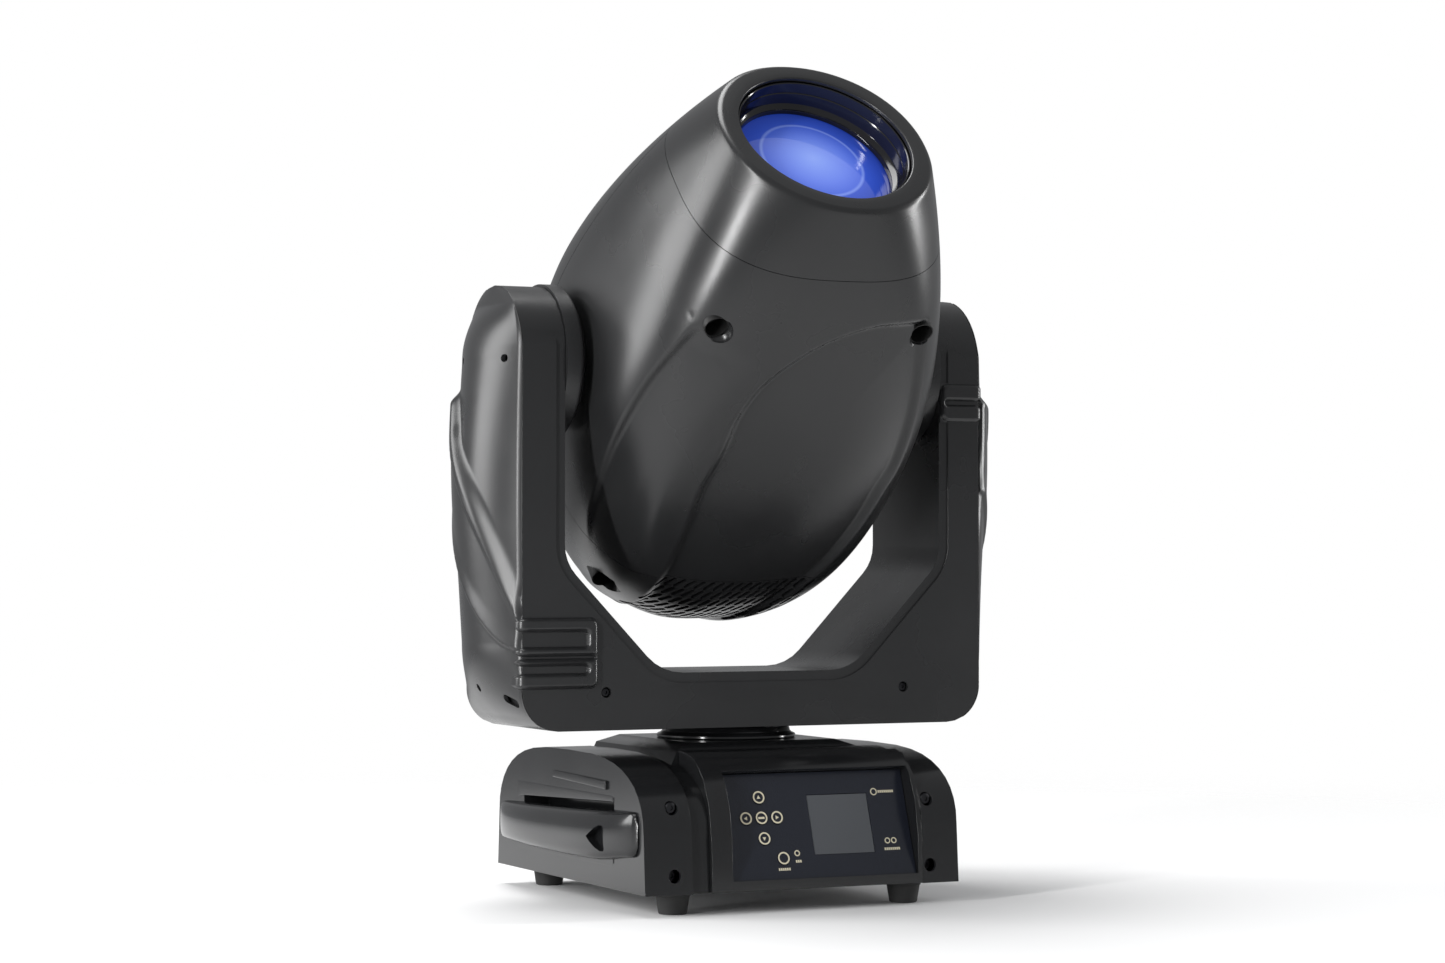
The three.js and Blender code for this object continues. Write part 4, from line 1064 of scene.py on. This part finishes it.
for i, x in enumerate((-FRAME_SCREW_X, FRAME_SCREW_X)):
    screw(f"frame_screw_front_{i}", x, -55, FRAME_SCREW_Z, 3.6, "yoke", FLOOR)
    screw(f"frame_screw_rear_{i}", x, 55, FRAME_SCREW_Z, 3.6, "yoke", FLOOR, 1)

# ---- Looks of the modelled pieces that stay --------------

kept_looks = {
    "pan_bearing": steel, "pan_fixed_pulley": aluminium, "tilt_bearing_left": steel,
    "tilt_bearing_right": steel, "pan_motor": motor_black, "tilt_motor": motor_black, "pan_belt": rubber,
    "tilt_belt": rubber, "pan_pinion": aluminium, "tilt_pinion": aluminium, "head_frame": aluminium,
    "guide_rod_left": steel, "guide_rod_right": steel, "tilt_shaft_left": steel, "tilt_shaft_right": steel,
    "light_engine": ceramic, "heat_sink": dark_steel, "cooling_fan": motor_black,
    "colour_wheel": aluminium, "gobo_wheel": steel, "focus_carriage": motor_black,
    "zoom_carriage": motor_black,
}
for node, look in kept_looks.items():
    for finish_slot in frame["nodes"][node].material_slots:
        finish_slot.material = look

# ---- Floor and light -------------------------------------

FLOOR_RADII, FLOOR_SIDES = (900, 1800, 3600), 96
floor_verts, floor_faces = [(0, 0, 0)], []
for radius in FLOOR_RADII:
    first = len(floor_verts)
    floor_verts += [(radius * math.cos(a), radius * math.sin(a), 0)
                    for a in np.linspace(0, 2 * math.pi, FLOOR_SIDES, endpoint=False)]
    for k in range(FLOOR_SIDES):
        here, beyond = first + k, first + (k + 1) % FLOOR_SIDES
        if radius == FLOOR_RADII[0]:
            floor_faces.append((0, here, beyond))
        else:
            floor_faces.append((here - FLOOR_SIDES, here, beyond, beyond - FLOOR_SIDES))
floor = temporary(floor_verts, floor_faces)
floor.data.transform(FLOOR)
floor.name = "floor"
# The floor thins out with distance, so it runs into the background without an edge.
floor_look, nodes, links, bsdf = shader("floor_pale", (0.86, 0.86, 0.86), 0.9)
where = nodes.new("ShaderNodeNewGeometry")
length = nodes.new("ShaderNodeVectorMath")
length.operation = "LENGTH"
links.new(where.outputs["Position"], length.inputs[0])
fade = nodes.new("ShaderNodeMapRange")
fade.interpolation_type = "SMOOTHSTEP"
fade.inputs["From Min"].default_value = 0.5
fade.inputs["From Max"].default_value = 1.6
fade.inputs["To Min"].default_value = 1
fade.inputs["To Max"].default_value = 0
links.new(length.outputs["Value"], fade.inputs["Value"])
links.new(fade.outputs["Result"], bsdf.inputs["Alpha"])
floor.data.materials.append(floor_look)
floor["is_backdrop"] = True

scene = bpy.context.scene
scene.view_settings.view_transform = "Standard"
world = bpy.data.worlds.new("studio")
scene.world = world
world.use_nodes = True
nodes, links = world.node_tree.nodes, world.node_tree.links
seen, lit = nodes["Background"], nodes.new("ShaderNodeBackground")
seen.inputs["Color"].default_value = (1, 1, 1, 1)
seen.inputs["Strength"].default_value = 1.0
lit.inputs["Color"].default_value = (0.97, 0.98, 1, 1)
lit.inputs["Strength"].default_value = 0.36
path = nodes.new("ShaderNodeLightPath")
choose = nodes.new("ShaderNodeMixShader")
links.new(path.outputs["Is Camera Ray"], choose.inputs["Fac"])
links.new(lit.outputs["Background"], choose.inputs[1])
links.new(seen.outputs["Background"], choose.inputs[2])
links.new(choose.outputs["Shader"], nodes["World Output"].inputs["Surface"])


def softbox(name, place, target, width, height, power):
    data = bpy.data.lights.new(name, "AREA")
    data.shape = "RECTANGLE"
    data.size, data.size_y = width, height
    data.energy = power
    lamp = linked(name, data)
    lamp.location = place
    lamp.rotation_euler = (Vector(target) - Vector(place)).to_track_quat("-Z", "Y").to_euler()


softbox("strip_left", (-2.6, -1.25, 0.7), (0, 0, 0.35), 0.16, 2.2, 75)
softbox("wash_left", (-2.4, 1.0, 1.0), (0, 0, 0.4), 1.2, 1.8, 50)
softbox("top", (-0.3, 0.6, 2.7), (0, 0, 0.3), 1.8, 1.2, 50)
softbox("strip_right", (2.6, -0.4, 0.8), (0, 0, 0.35), 0.2, 1.8, 35)

low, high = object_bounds()
